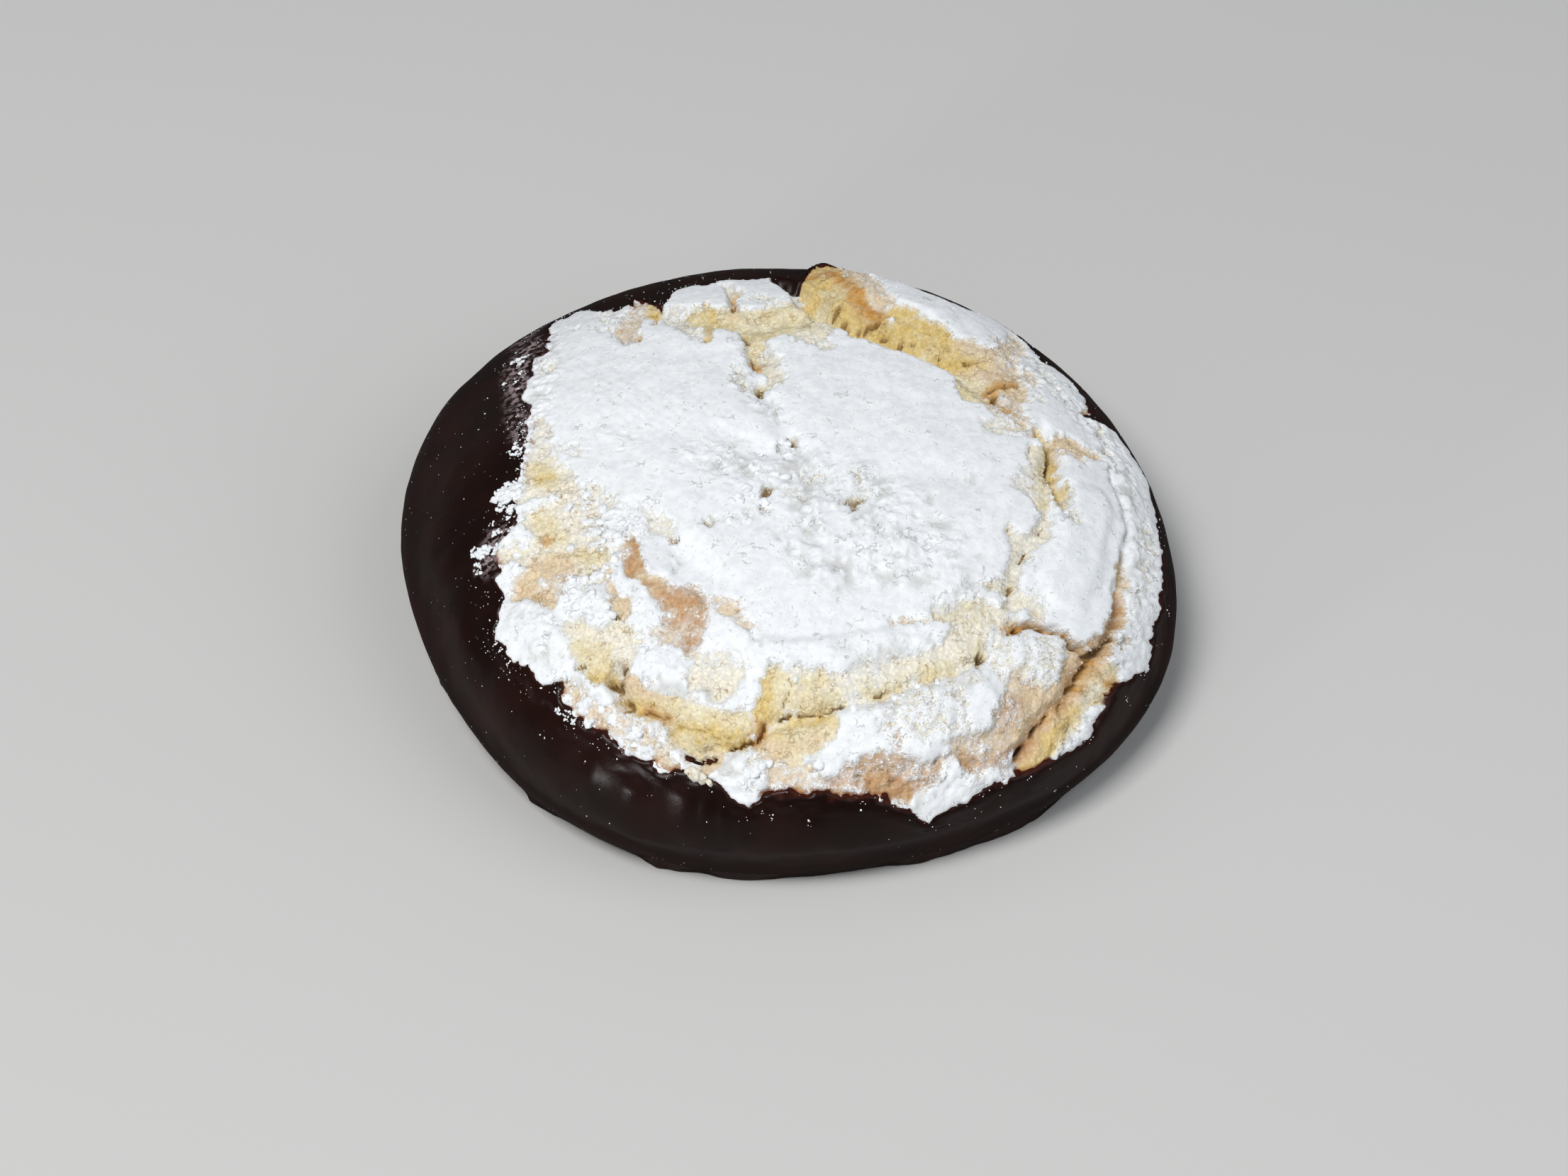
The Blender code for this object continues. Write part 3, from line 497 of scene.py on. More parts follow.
# %% Sugar and crumb at the back right
SHELF_SIDE = (
    ("cream", (3.4, 14.6, 0.8), (5.2, 13.6, 0.9), (6.6, 13.0, 0.8), (8.2, 12.3, 0.8), (10.4, 11.7, 0.6)),
    ("gold", (2.8, 27.0, 1.8), (2.8, 24.0, 1.9), (3.3, 21.5, 2.1), (4.3, 19.0, 2.1), (5.4, 17.0, 2.0),
     (7.0, 16.0, 1.8), (9.0, 15.0, 1.9), (11.0, 13.9, 1.9), (12.6, 12.2, 1.6), (14.0, 11.2, 1.3)),
    ("tan", (5.5, 25.4, 0.6), (5.8, 22.4, 0.7), (6.5, 20.4, 0.7), (7.2, 19.2, 0.7), (8.0, 18.1, 0.5)),
    ("dusty tan", (6.0, 25.4, 0.6), (6.3, 22.4, 0.7), (7.0, 20.4, 0.7), (7.7, 19.2, 0.6),
     (8.6, 17.9, 0.5)),
    ("amber", (3.4, 24.6, 0.3), (3.9, 23.2, 0.45), (4.4, 21.9, 0.5)),
    ("amber", (5.0, 20.8, 0.35), (5.5, 19.4, 0.5), (6.2, 18.1, 0.5), (7.0, 17.3, 0.55),
     (7.8, 16.7, 0.35)),
    *dabs("amber", (2.3, 23.6, 0.35), (4.9, 24.6, 0.4)),
    ("pale", (2.8, 19.2, 0.5), (3.3, 17.2, 0.7), (4.6, 15.2, 0.7), (6.4, 14.4, 0.6), (8.2, 13.4, 0.6),
     (9.8, 12.6, 0.4)),
    ("pale", (3.6, 20.6, 0.3), (4.2, 19.8, 0.3)), ("gold", (8.7, 17.0, 0.5), (10.0, 16.2, 0.6)),
    ("pale", (11.6, 13.0, 0.5), (12.8, 12.6, 0.3)), ("white", (4.3, 14.1, 0.6), (4.2, 13.2, 0.6)),
    ("dusty tan", (18.6, 17.4, 0.9), (18.6, 15.6, 1.1), (17.6, 14.0, 1.4), (17.2, 12.6, 1.5),
     (17.8, 11.2, 1.3)),
    ("tan", (14.4, 13.0, 0.8), (15.6, 12.0, 1.0), (16.4, 10.8, 1.2), (17.2, 9.6, 1.3), (18.2, 8.0, 1.2),
     (18.4, 6.6, 0.8)),
    ("gold", (12.6, 12.0, 1.0), (14.6, 11.2, 0.9), (15.6, 11.2, 0.5)),
    ("tan", (15.2, 9.8, 1.0), (16.2, 8.6, 1.1)),
    ("pale", (13.4, 10.0, 0.9), (14.4, 8.6, 1.3), (14.7, 7.0, 1.3), (15.8, 6.2, 0.8)),
    ("dusty tan", (16.4, 5.6, 0.9), (17.4, 6.6, 1.0)),
    ("dusty tan", (17.6, 5.6, 0.8), (18.4, 4.2, 0.9), (19.2, 3.2, 0.7)),
    ("mottled", (16.0, 3.2, 0.8), (17.6, 3.0, 0.9), (16.4, 4.6, 0.6)),
    # Amber along the pits at the end of the shelf: darker crumb, and painted shade in them.
    ("amber", (16.4, 8.1, 0.25), (17.4, 9.0, 0.3), (19.0, 9.6, 0.25)),
    ("amber", (16.1, 7.8, 0.25), (16.5, 6.6, 0.35), (17.0, 5.8, 0.2), (17.7, 5.1, 0.15)),
    ("dusty tan", (19.4, 11.6, 0.7), (19.4, 9.8, 0.6)),
    ("thin", (20.3, 13.8, 0.5), (20.8, 11.8, 0.6), (21.6, 10.0, 0.7), (22.4, 8.8, 0.4)),
    ("thin", (20.0, 8.0, 0.8)), ("tan", (23.4, 8.4, 0.3), (24.0, 9.4, 0.3)),
    ("mottled", (24.9, 7.2, 0.5), (25.2, 5.0, 0.5), (25.8, 3.0, 0.4)),
    ("gold", (19.8, 4.0, 0.3), (20.0, 3.0, 0.5), (20.6, 2.2, 0.7), (20.6, 0.6, 0.7), (20.6, -1.6, 0.6)),
    ("tan", (21.4, 3.2, 0.7), (22.6, 3.0, 0.8), (23.8, 2.8, 0.6), (24.6, 2.6, 0.3)),
    ("dusty tan", (21.9, 1.8, 0.7), (23.0, 1.6, 0.5)),
    ("pale", (19.5, 1.2, 0.4), (19.6, -0.6, 0.6), (19.6, -2.6, 0.6)),
    ("cream", (19.4, 0.8, 0.3), (19.2, -1.2, 0.5), (19.4, -3.2, 0.8), (19.7, -4.8, 0.6),
     (19.8, -6.4, 0.6), (19.4, -7.8, 0.5)),
    ("pale", (19.7, -1.4, 0.4), (19.6, -3.2, 0.5), (19.8, -4.6, 0.4)),
    ("pale", (21.3, -2.4, 0.6), (21.4, -3.8, 0.5)), ("gold", (20.8, -2.4, 0.4), (21.0, -4.4, 0.35)),
    ("dusty cream", (18.6, -1.6, 0.5), (18.0, -3.2, 0.9), (18.8, -3.8, 0.6)),
    ("dusty cream", (21.9, -5.6, 0.7)),
    *dabs("white", (7.4, 13.3, 0.35), (8.7, 16.1, 0.35), (18.9, 6.3, 0.4), (16.6, 13.6, 0.35)),
    ("mottled", (27.9, -2.6, 0.5), (28.0, -3.8, 0.8), (28.1, -5.2, 0.7)),
    ("mottled", (27.5, -7.0, 0.6), (27.6, -8.8, 0.5)), ("thin", (27.2, -9.6, 0.6), (26.9, -11.4, 0.4)),
)
print(len(SHELF_SIDE), "strokes")

# %% Sugar and crumb at the lower right
RIGHT_SIDE = (
    ("cream", (19.5, -7.4, 0.4), (18.9, -8.3, 0.6), (18.0, -9.2, 0.9), (17.8, -9.9, 0.8),
     (17.1, -11.2, 0.7), (17.0, -12.6, 0.6), (17.1, -13.8, 0.6)),
    ("cream", (16.9, -8.0, 0.2), (17.2, -9.2, 0.4)),
    ("dusty pale", (16.8, -13.5, 0.3), (15.6, -13.5, 0.5), (14.8, -13.6, 0.5)),
    ("cream", (17.8, -14.4, 0.8), (18.6, -14.8, 0.8)),
    ("dusty tan", (18.4, -16.0, 0.5), (19.8, -16.2, 0.5)),
    ("cream", (16.2, -15.0, 1.2), (15.6, -16.4, 1.5), (14.6, -17.8, 1.6), (13.4, -18.8, 1.5),
     (12.4, -19.5, 1.1)),
    ("pale", (14.6, -19.0, 0.5), (13.8, -19.4, 0.4)), ("pale", (13.2, -16.8, 0.3), (12.0, -17.2, 0.2)),
    ("dusty tan", (8.2, -17.7, 0.4), (9.4, -17.5, 0.4), (10.4, -17.4, 0.2)),
    ("dusty pale", (11.0, -17.0, 0.4), (12.2, -16.8, 0.6), (13.4, -16.0, 0.7), (14.4, -15.6, 0.6)),
    ("mottled", (15.8, -17.4, 0.9), (15.5, -18.6, 0.8), (16.0, -19.6, 0.9)),
    ("thin", (18.2, -18.2, 1.4), (19.8, -18.0, 1.2)), ("mottled", (17.4, -20.2, 0.7), (19.2, -19.6, 0.8)),
    ("dusty tan", (16.9, -20.6, 0.7), (17.2, -21.4, 0.9), (16.6, -22.6, 1.1), (15.9, -23.6, 1.0)),
    ("tan", (17.4, -21.6, 0.8), (18.6, -21.4, 1.0), (20.0, -20.6, 0.7)),
    ("toast", (17.8, -22.2, 0.5), (19.4, -21.6, 0.4)),
    ("dusty toast", (17.0, -22.4, 0.9), (16.6, -23.6, 0.9), (15.6, -24.6, 0.8)),
    ("tan", (21.2, -17.4, 0.5), (21.2, -18.4, 0.6), (20.6, -19.2, 0.4)),
    ("tan", (21.9, -17.4, 0.6), (21.6, -18.4, 0.8), (20.8, -19.8, 0.8), (19.6, -21.4, 0.9),
     (18.2, -23.0, 0.9), (17.2, -24.2, 0.8)),
    ("toast", (15.6, -24.7, 0.4), (16.4, -24.9, 0.4)),
    # Amber along the lower slit: darker crumb, and painted shade in the slit.
    ("amber", (16.4, -17.2, 0.25), (17.1, -16.7, 0.45), (18.6, -16.3, 0.25), (19.6, -16.2, 0.3),
     (20.8, -16.3, 0.25), (21.9, -16.8, 0.35), (22.6, -17.1, 0.4)),
    ("cream", (23.8, -16.9, 0.6), (23.4, -18.2, 1.1), (22.2, -19.8, 1.1), (21.2, -21.4, 1.1),
     (20.0, -23.0, 1.2)),
    ("gold", (23.2, -17.8, 0.5), (22.6, -18.8, 0.4)),
    ("gold", (21.6, -20.8, 0.4), (20.7, -22.0, 0.6), (19.6, -23.4, 0.8), (18.6, -24.6, 1.0),
     (17.8, -25.4, 0.8)),
    ("pale", (24.6, -17.2, 0.6), (24.2, -18.6, 0.6), (22.8, -20.2, 0.3)),
    # Amber and toast down the lower groove: toasted crumb, and painted shade in the groove.
    ("amber", (24.0, -18.1, 0.2), (25.2, -17.9, 0.25)),
    ("toast", (24.6, -15.3, 0.5), (23.5, -16.8, 0.6), (22.8, -18.0, 0.6)),
    ("toast", (21.9, -19.0, 0.5), (21.1, -20.5, 0.5), (19.9, -21.8, 0.5), (18.8, -23.0, 0.6),
     (17.6, -24.8, 0.6)),
    ("toast", (22.4, -17.2, 0.4), (21.9, -18.2, 0.5), (21.2, -19.4, 0.3)),
    ("amber", (23.2, -16.9, 0.5), (22.4, -18.4, 0.45), (21.8, -19.4, 0.3)),
    ("amber", (20.6, -21.0, 0.2), (19.6, -22.2, 0.2)),
    # Tan and toast along the outer groove: toasted crumb, and painted shade in the groove.
    ("dusty tan", (25.8, -7.2, 0.25), (25.5, -8.6, 0.5), (25.9, -10.0, 0.6), (25.0, -11.6, 0.5),
     (25.4, -13.0, 0.6), (24.5, -14.2, 0.7), (23.7, -15.4, 0.6), (22.8, -16.4, 0.4)),
    ("toast", (25.5, -12.1, 0.2), (25.5, -13.2, 0.3), (24.2, -14.8, 0.3), (23.0, -16.2, 0.25)),
    ("tan", (25.7, -6.8, 0.25), (25.7, -8.2, 0.45), (25.7, -9.6, 0.45)),
    ("toast", (25.4, -11.0, 0.35), (25.3, -12.2, 0.4)), ("dusty tan", (26.3, -12.2, 0.3)),
    ("dusty tan", (25.8, -14.6, 0.5), (25.2, -15.6, 0.3)), ("white", (24.7, -15.8, 0.3)),
    ("white", (26.0, -15.8, 0.5), (25.4, -16.8, 0.3)),
    ("white", (24.3, -19.4, 0.4), (23.2, -20.4, 0.7), (22.4, -21.2, 0.6)),
    *dabs("white", (21.6, -22.4, 0.5), (20.6, -23.4, 0.35), (24.9, -18.7, 0.3)),
    ("mottled", (23.2, -18.9, 0.3)),
    *dabs("white", (15.6, -14.6, 0.6), (16.6, -15.7, 0.35), (17.6, -15.4, 0.3)),
)
print(len(RIGHT_SIDE), "strokes")

# %% Sugar and crumb at the front
FRONT_SIDE = (
    ("cream", (0.4, -23.2, 1.7), (2.4, -23.2, 1.7), (4.0, -23.0, 1.2)),
    ("pale", (0.2, -23.6, 0.7), (1.4, -24.0, 0.8), (3.4, -23.8, 0.6)),
    ("pale", (1.6, -22.4, 0.5), (2.8, -22.2, 0.4)),
    ("dusty cream", (5.4, -22.4, 1.2), (7.0, -22.0, 1.4), (8.4, -21.4, 1.2)),
    ("cream", (8.8, -21.4, 0.9), (10.2, -20.9, 1.0), (11.4, -20.4, 1.2), (12.6, -19.6, 1.2)),
    ("pale", (10.6, -21.4, 0.5), (12.2, -20.8, 0.5)),
    ("pale", (6.2, -22.8, 0.7), (7.3, -23.1, 0.5), (8.6, -22.2, 0.4)),
    ("pale", (-0.8, -22.4, 0.9), (-0.9, -23.6, 1.0), (-1.2, -24.8, 0.9)),
    ("gold", (-1.4, -22.6, 0.4), (-1.6, -24.0, 0.5), (-1.7, -25.6, 0.5)),
    ("pale", (-1.4, -26.6, 0.8), (0.0, -26.3, 1.3), (1.6, -26.1, 1.4), (3.0, -25.3, 0.9)),
    ("gold", (0.4, -25.4, 0.25), (1.8, -25.3, 0.3), (3.0, -24.8, 0.2)),
    ("gold", (-1.6, -26.8, 0.4), (-0.6, -26.4, 0.3)), ("tan", (-1.0, -27.2, 0.8), (0.4, -27.2, 0.5)),
    ("tan", (1.0, -26.9, 0.4), (2.4, -26.6, 0.3)), ("pale", (0.6, -27.6, 0.7), (2.2, -27.6, 0.5)),
    ("dusty tan", (-0.8, -28.2, 0.7), (0.4, -28.5, 0.7), (2.2, -28.6, 0.7)),
    ("tan", (-5.8, -28.0, 0.5), (-4.8, -27.6, 0.5)),
    ("toast", (-1.8, -29.2, 0.3), (1.0, -29.2, 0.35), (4.0, -29.1, 0.3), (6.0, -28.9, 0.3)),
    ("dusty toast", (3.8, -28.4, 0.9), (6.0, -27.8, 1.2), (7.8, -27.4, 1.4), (9.4, -27.8, 1.2)),
    ("toast", (6.6, -28.2, 0.9), (8.8, -28.4, 0.8)), ("dusty toast", (8.2, -25.9, 0.6)),
    ("dusty toast", (10.6, -27.2, 0.7), (11.4, -26.6, 0.6)),
    ("dusty tan", (12.2, -25.8, 0.8), (13.6, -25.2, 1.0), (15.0, -24.8, 1.1)),
    ("toast", (13.2, -26.2, 0.6)), ("dusty toast", (14.4, -25.9, 0.8), (15.8, -25.4, 0.8)),
    ("thin", (7.6, -25.6, 0.9), (10.4, -24.6, 1.2), (12.8, -23.8, 1.0)),
    ("thin", (6.0, -24.4, 0.6), (8.6, -23.6, 0.9), (11.4, -22.6, 0.9), (13.6, -21.4, 0.7)),
    ("mottled", (9.6, -25.4, 0.5), (11.2, -24.6, 0.4)), ("mottled", (12.6, -22.6, 0.4)),
    ("white", (10.4, -28.3, 0.5), (12.4, -27.5, 0.5), (14.4, -26.7, 0.3)),
    ("white", (1.6, -27.5, 0.4), (3.4, -27.7, 0.5)), ("white", (0.7, -22.4, 0.3)),
)
print(len(FRONT_SIDE), "strokes")

# %% Sugar and crumb at the left
LEFT_SIDE = (
    ("dusty cream", (-19.2, 3.6, 0.8), (-18.9, 2.2, 0.9), (-18.8, 0.8, 0.9)),
    ("thin", (-17.4, 0.6, 0.9), (-16.2, -0.2, 0.7)),
    ("cream", (-19.0, -0.4, 0.9), (-18.4, -2.4, 1.9), (-17.9, -5.0, 2.4), (-17.2, -7.4, 2.6),
     (-16.2, -9.2, 2.4), (-14.8, -10.8, 1.8)),
    ("dusty cream", (-14.8, -4.6, 1.0), (-14.2, -6.6, 1.6), (-13.2, -8.4, 1.8), (-12.8, -10.6, 1.3)),
    ("pale", (-19.6, -0.6, 0.5), (-18.6, -1.8, 0.7), (-17.6, -2.8, 0.5)),
    ("pale", (-18.6, -6.2, 0.6), (-17.9, -7.3, 0.7), (-17.2, -8.4, 0.6)),
    ("pale", (-15.4, -10.4, 0.6), (-14.4, -11.2, 0.7), (-13.8, -11.4, 0.4)),
    ("gold", (-18.9, -2.1, 0.1), (-18.1, -2.2, 0.12)), ("amber", (-18.1, -8.2, 0.3)),
    ("cream", (-21.4, -8.8, 0.9), (-20.2, -9.2, 1.0), (-18.8, -9.6, 0.8)),
    ("tan", (-20.3, -12.6, 0.6), (-19.4, -11.6, 1.1), (-18.2, -11.2, 1.2), (-17.0, -11.0, 1.0)),
    ("tan", (-19.4, -12.4, 0.7), (-18.4, -13.2, 0.8), (-17.4, -14.4, 0.6)),
    ("dusty tan", (-17.0, -12.8, 1.0), (-16.4, -13.8, 0.5)),
    ("dusty cream", (-14.6, -12.8, 0.5), (-13.9, -13.8, 0.4)),
    ("tan", (-13.2, -12.6, 0.4), (-13.0, -14.6, 0.4)), ("tan", (-12.4, -15.4, 0.7), (-12.0, -16.6, 0.7)),
    ("cream", (-15.8, -16.6, 0.6), (-14.8, -17.8, 1.2), (-13.4, -18.6, 1.5), (-12.2, -18.2, 1.2),
     (-11.4, -18.8, 1.1), (-11.8, -20.0, 0.9)),
    ("pale", (-15.4, -18.2, 0.6), (-14.4, -19.2, 0.9), (-13.4, -19.8, 0.8)),
    ("pale", (-15.0, -19.8, 0.4), (-14.0, -20.4, 0.7), (-13.0, -21.0, 0.7)),
    ("gold", (-14.2, -21.0, 0.3), (-12.9, -21.4, 0.4)),
    ("tan", (-11.6, -21.8, 0.8), (-10.8, -22.8, 0.9), (-9.4, -23.4, 0.8), (-8.0, -23.6, 0.7)),
    ("pale", (-9.4, -24.2, 0.9), (-7.6, -24.6, 1.2), (-5.8, -25.2, 1.3), (-4.0, -25.6, 1.1),
     (-3.0, -25.4, 0.8)),
    ("gold", (-12.2, -22.8, 0.4), (-11.0, -23.6, 0.5), (-9.6, -24.2, 0.4)),
    # Amber along the front crack: darker crumb, and painted shade in the crack.
    ("amber", (-10.1, -24.0, 0.2), (-9.4, -24.4, 0.25), (-8.6, -24.6, 0.2)),
    ("pale", (-8.0, -26.0, 0.6), (-6.6, -26.6, 0.9), (-4.8, -26.6, 0.8), (-3.4, -26.5, 0.5)),
    ("gold", (-8.2, -25.4, 0.12), (-6.4, -25.5, 0.2), (-5.0, -25.8, 0.12)),
    ("gold", (-6.2, -26.2, 0.15), (-4.4, -26.2, 0.25), (-3.0, -26.0, 0.2)),
    # The amber stroke here runs along pits: darker crumb, and painted shade in them.
    ("gold", (-4.4, -26.7, 0.3), (-3.0, -26.7, 0.3)), ("amber", (-2.2, -26.6, 0.25), (-1.8, -25.4, 0.3)),
    ("tan", (-5.6, -27.6, 0.4), (-4.8, -27.4, 0.4)),
    ("cream", (-6.6, -22.4, 1.0), (-5.2, -22.1, 1.5), (-4.2, -22.4, 1.3), (-4.4, -23.2, 1.1)),
    ("dusty cream", (-6.9, -20.9, 0.5), (-5.6, -20.8, 0.8), (-4.0, -21.0, 0.7), (-3.4, -21.6, 0.4)),
    ("dusty tan", (-16.4, -20.8, 0.6), (-15.2, -22.0, 0.9), (-14.2, -23.2, 0.8)),
    ("dusty tan", (-13.4, -23.6, 0.9), (-11.8, -24.6, 1.0), (-10.2, -25.8, 1.0), (-9.0, -26.7, 0.8)),
    ("tan", (-9.0, -27.2, 0.4), (-8.0, -27.6, 0.4)), ("toast", (-11.5, -10.1, 0.5), (-11.1, -11.0, 0.5)),
    ("toast", (-11.3, -11.8, 0.7), (-11.1, -12.9, 0.8)),
    ("tan", (-10.6, -13.7, 0.5), (-9.6, -14.5, 0.8), (-8.6, -15.6, 1.0)),
    ("dusty toast", (-8.6, -15.6, 1.1), (-7.4, -16.2, 1.7), (-7.4, -17.4, 1.8), (-7.3, -18.6, 1.4),
     (-6.9, -19.4, 0.8)),
    ("toast", (-10.4, -14.0, 0.25), (-9.2, -15.0, 0.35), (-8.0, -15.8, 0.6)),
    ("toast", (-7.6, -16.6, 0.4), (-6.6, -16.0, 0.4)),
    ("dusty tan", (-9.6, -18.4, 0.5), (-8.6, -18.9, 0.8)),
    ("dusty tan", (-5.0, -16.2, 0.6), (-4.2, -16.8, 0.8), (-3.4, -17.6, 0.7), (-2.8, -18.3, 0.4)),
    ("dusty cream", (-10.7, -6.9, 0.4), (-9.8, -7.9, 0.7), (-9.0, -9.0, 0.9), (-8.6, -9.6, 0.5)),
    ("white", (-20.0, -4.9, 0.5), (-18.7, -4.8, 0.5)), ("white", (-17.7, -4.4, 0.5)),
    ("white", (-20.2, -6.8, 0.6), (-19.6, -7.6, 0.5)), ("white", (-16.2, -9.5, 0.4)),
    ("white", (-12.8, -7.5, 0.9), (-13.0, -8.8, 0.6)),
    *dabs("white", (-11.4, -8.2, 0.8), (-14.4, -8.4, 0.5), (-12.2, -9.8, 0.6), (-14.0, -9.6, 0.4),
     (-16.2, -5.8, 0.35), (-12.6, -11.6, 0.5), (-14.2, -12.4, 0.4)),
    ("white", (-20.8, -10.0, 0.5), (-20.0, -10.4, 0.4)), ("white", (-18.2, -12.0, 0.3)),
    ("white", (-20.6, -14.6, 0.9), (-18.8, -15.8, 1.6), (-17.4, -17.6, 1.3), (-16.8, -19.4, 0.8)),
    ("white", (-19.6, -14.2, 0.6)),
    ("white", (-16.2, -14.0, 0.6), (-15.0, -14.6, 0.9), (-14.0, -15.6, 1.1), (-13.8, -16.6, 0.8)),
    ("white", (-10.8, -14.8, 0.5), (-10.4, -16.0, 0.7), (-10.2, -17.2, 0.7)),
    ("white", (-10.6, -20.4, 0.7), (-9.6, -20.8, 1.0), (-8.4, -20.9, 1.0), (-7.5, -21.0, 0.6)),
    ("white", (-10.2, -21.4, 0.4), (-9.0, -21.8, 0.8), (-8.1, -22.2, 0.8), (-7.6, -22.8, 0.5)),
    ("white", (-2.6, -22.5, 0.6), (-2.4, -23.4, 0.6), (-3.6, -24.1, 0.5), (-4.6, -24.2, 0.35)),
    *dabs("white", (-14.8, -22.6, 0.5), (-12.6, -24.0, 0.4), (-11.0, -25.1, 0.6), (-9.7, -26.4, 0.5)),
    ("mottled", (-12.4, -22.4, 0.3)),
    ("white", (-4.1, -28.0, 0.5), (-3.2, -28.3, 0.7), (-2.5, -28.8, 0.6)),
    ("mottled", (-2.2, -27.6, 0.6)),
)
print(len(LEFT_SIDE), "strokes")

# %% Sugar and crumb in the middle
MIDDLE_PART = (
    ("veil", (1.6, -4.0, 0.8), (2.4, -4.2, 0.9), (3.0, -3.6, 0.6)), ("veil", (0.4, -5.9, 0.8)),
    ("dusty cream", (5.5, -3.8, 0.4), (5.6, -5.2, 0.3)),
    ("dusty cream", (4.4, -6.6, 0.3), (5.5, -6.3, 0.5)),
    ("dusty cream", (-1.0, -5.2, 0.3), (-1.5, -6.0, 0.3)), ("veil", (-1.6, -7.6, 0.7)),
    ("dusty cream", (-6.2, -9.0, 0.3), (-5.4, -8.6, 0.3)),
    ("dusty cream", (0.5, 0.0, 0.2), (0.6, -0.9, 0.3)),
    *dabs("veil", (-0.1, -0.9, 0.5), (7.4, -9.7, 0.5), (-3.0, -8.2, 0.7)),
)
print(len(MIDDLE_PART), "strokes")

# %% Lay the strokes on the skin
SUGAR_STROKES = TOP_SIDE + SHELF_SIDE + RIGHT_SIDE + FRONT_SIDE + LEFT_SIDE + MIDDLE_PART
UNTOUCHED_LEVEL = 1.05
TONE_SPREAD = 0.4


def sugar_level(points):
    """1 where the sugar is thick, -1 on bare crumb, and the share of each tone; later strokes lie on top."""
    level = np.full(len(points), UNTOUCHED_LEVEL)
    tones = {tone: np.zeros(len(points)) for tone in TONES}
    for look, *stroke in SUGAR_STROKES:
        target, own_tone, soft = LOOKS[look]
        depth = inside(points, stroke)
        level += (target - level) * smooth_step(-soft / 2, soft / 2, depth)
        if own_tone:
            broad = smooth_step(-soft / 2 - TONE_SPREAD, soft / 2, depth)
            for tone in TONES:
                tones[tone] += ((tone == own_tone) - tones[tone]) * broad
    return level, tones


print(len(SUGAR_STROKES), "strokes of sugar and crumb")

# %% [markdown]
# ## The edge of the chocolate
#
# The biscuit was pressed top up into melted chocolate, so the chocolate climbed the sides to an
# uneven line: high at the left and back, low at the front. The line is a table of directions and
# angles down from the top. Both the crumb and the chocolate read it, so they meet on one line.

# %% Edge line
RIM = (
    (-180, 37), (-176, 38), (-174, 40), (-171, 41), (-169, 40), (-165, 40), (-162, 43), (-160, 49),
    (-157, 50), (-153, 51), (-149, 53), (-147, 57), (-145, 61), (-142, 59), (-139, 61), (-136, 57),
    (-132, 60), (-129, 57), (-126, 60), (-124, 62), (-121, 61), (-118, 62), (-114, 64), (-110, 65),
    (-107, 66), (-103, 65), (-100, 66), (-98, 69), (-95, 73), (-93, 69), (-90, 69), (-84, 71), (-80, 72),
    (-76, 74), (-73, 79), (-70, 84), (-68, 82), (-60, 79), (-49, 80), (-44, 79), (-40, 75), (-36, 72),
    (-32, 74), (-28, 78), (-23, 73), (-19, 71), (-15, 70), (-10, 69), (-4, 69), (2, 70), (8, 70),
    (14, 67), (17, 64), (19, 54), (21, 57), (24, 59), (29, 60), (33, 59), (35, 54), (37, 55), (39, 57),
    (43, 59), (55, 58), (70, 55), (80, 54), (84, 54), (86, 45), (87, 39.5), (88, 40), (90, 41),
    (93, 43.5), (95, 43.5), (99, 42), (103, 42.5), (107, 42), (110, 43), (113, 42.5), (115, 40),
    (116.5, 37.5), (118.5, 36), (119.6, 43), (120.5, 46.5), (122, 43), (124, 43), (126, 43), (127.5, 46),
    (128.5, 53), (130, 55), (132, 56), (134, 55), (136, 53), (138, 50), (141, 47), (143.5, 43.5),
    (145, 43.5), (147, 44), (149, 43), (152, 41), (156, 39.5), (159, 40.5), (162, 37), (166, 36),
    (171, 36), (176, 36),
)
RIM_DIRECTION, RIM_DOWN = np.array(RIM, float).T
SMOOTH_SPAN = 9.0


def rim_arc(angle):
    """Length along the skin from the top to the chocolate's edge."""
    return arc_at(np.interp(np.degrees(angle), RIM_DIRECTION, RIM_DOWN, period=360.0))


def calm_rim_arc(angle):
    """The same line with its bites smoothed out, which the rows of both meshes follow."""
    turns = np.radians(np.linspace(-SMOOTH_SPAN, SMOOTH_SPAN, 13))
    return np.mean([rim_arc(angle + turn) for turn in turns], axis=0)


def under_chocolate(points, angle, down):
    """Distance past the chocolate's edge in mm: positive under the chocolate, negative on the crumb."""
    ragged = 0.5 * lumpy(points, 1.5, 31.0) + 0.4 * lumpy(points, 0.6, 37.0)
    return arc_at(down) - rim_arc(angle) + ragged


print("edge of the chocolate lies", round(float(rim_arc(math.pi)), 1), "mm from the top at the left and",
      round(float(rim_arc(-math.pi / 2)), 1), "mm at the front")

# %% [markdown]
# ## How high the crust stands
#
# One function now answers, for any point of the skin, how far the crumb and its sugar stand out. It
# adds up plates, cracks, hollows, pits, nicks, the thickness of the sugar, and the grain of the
# crumb. The surface is moved for real, so the cracks have depth from every side and cast shadows.
# In some zones the sugar is rubble instead of smooth: it has clumps with gaps between them, and
# many small nicks at random places. Where it was swept flat, it has faint parallel lines.

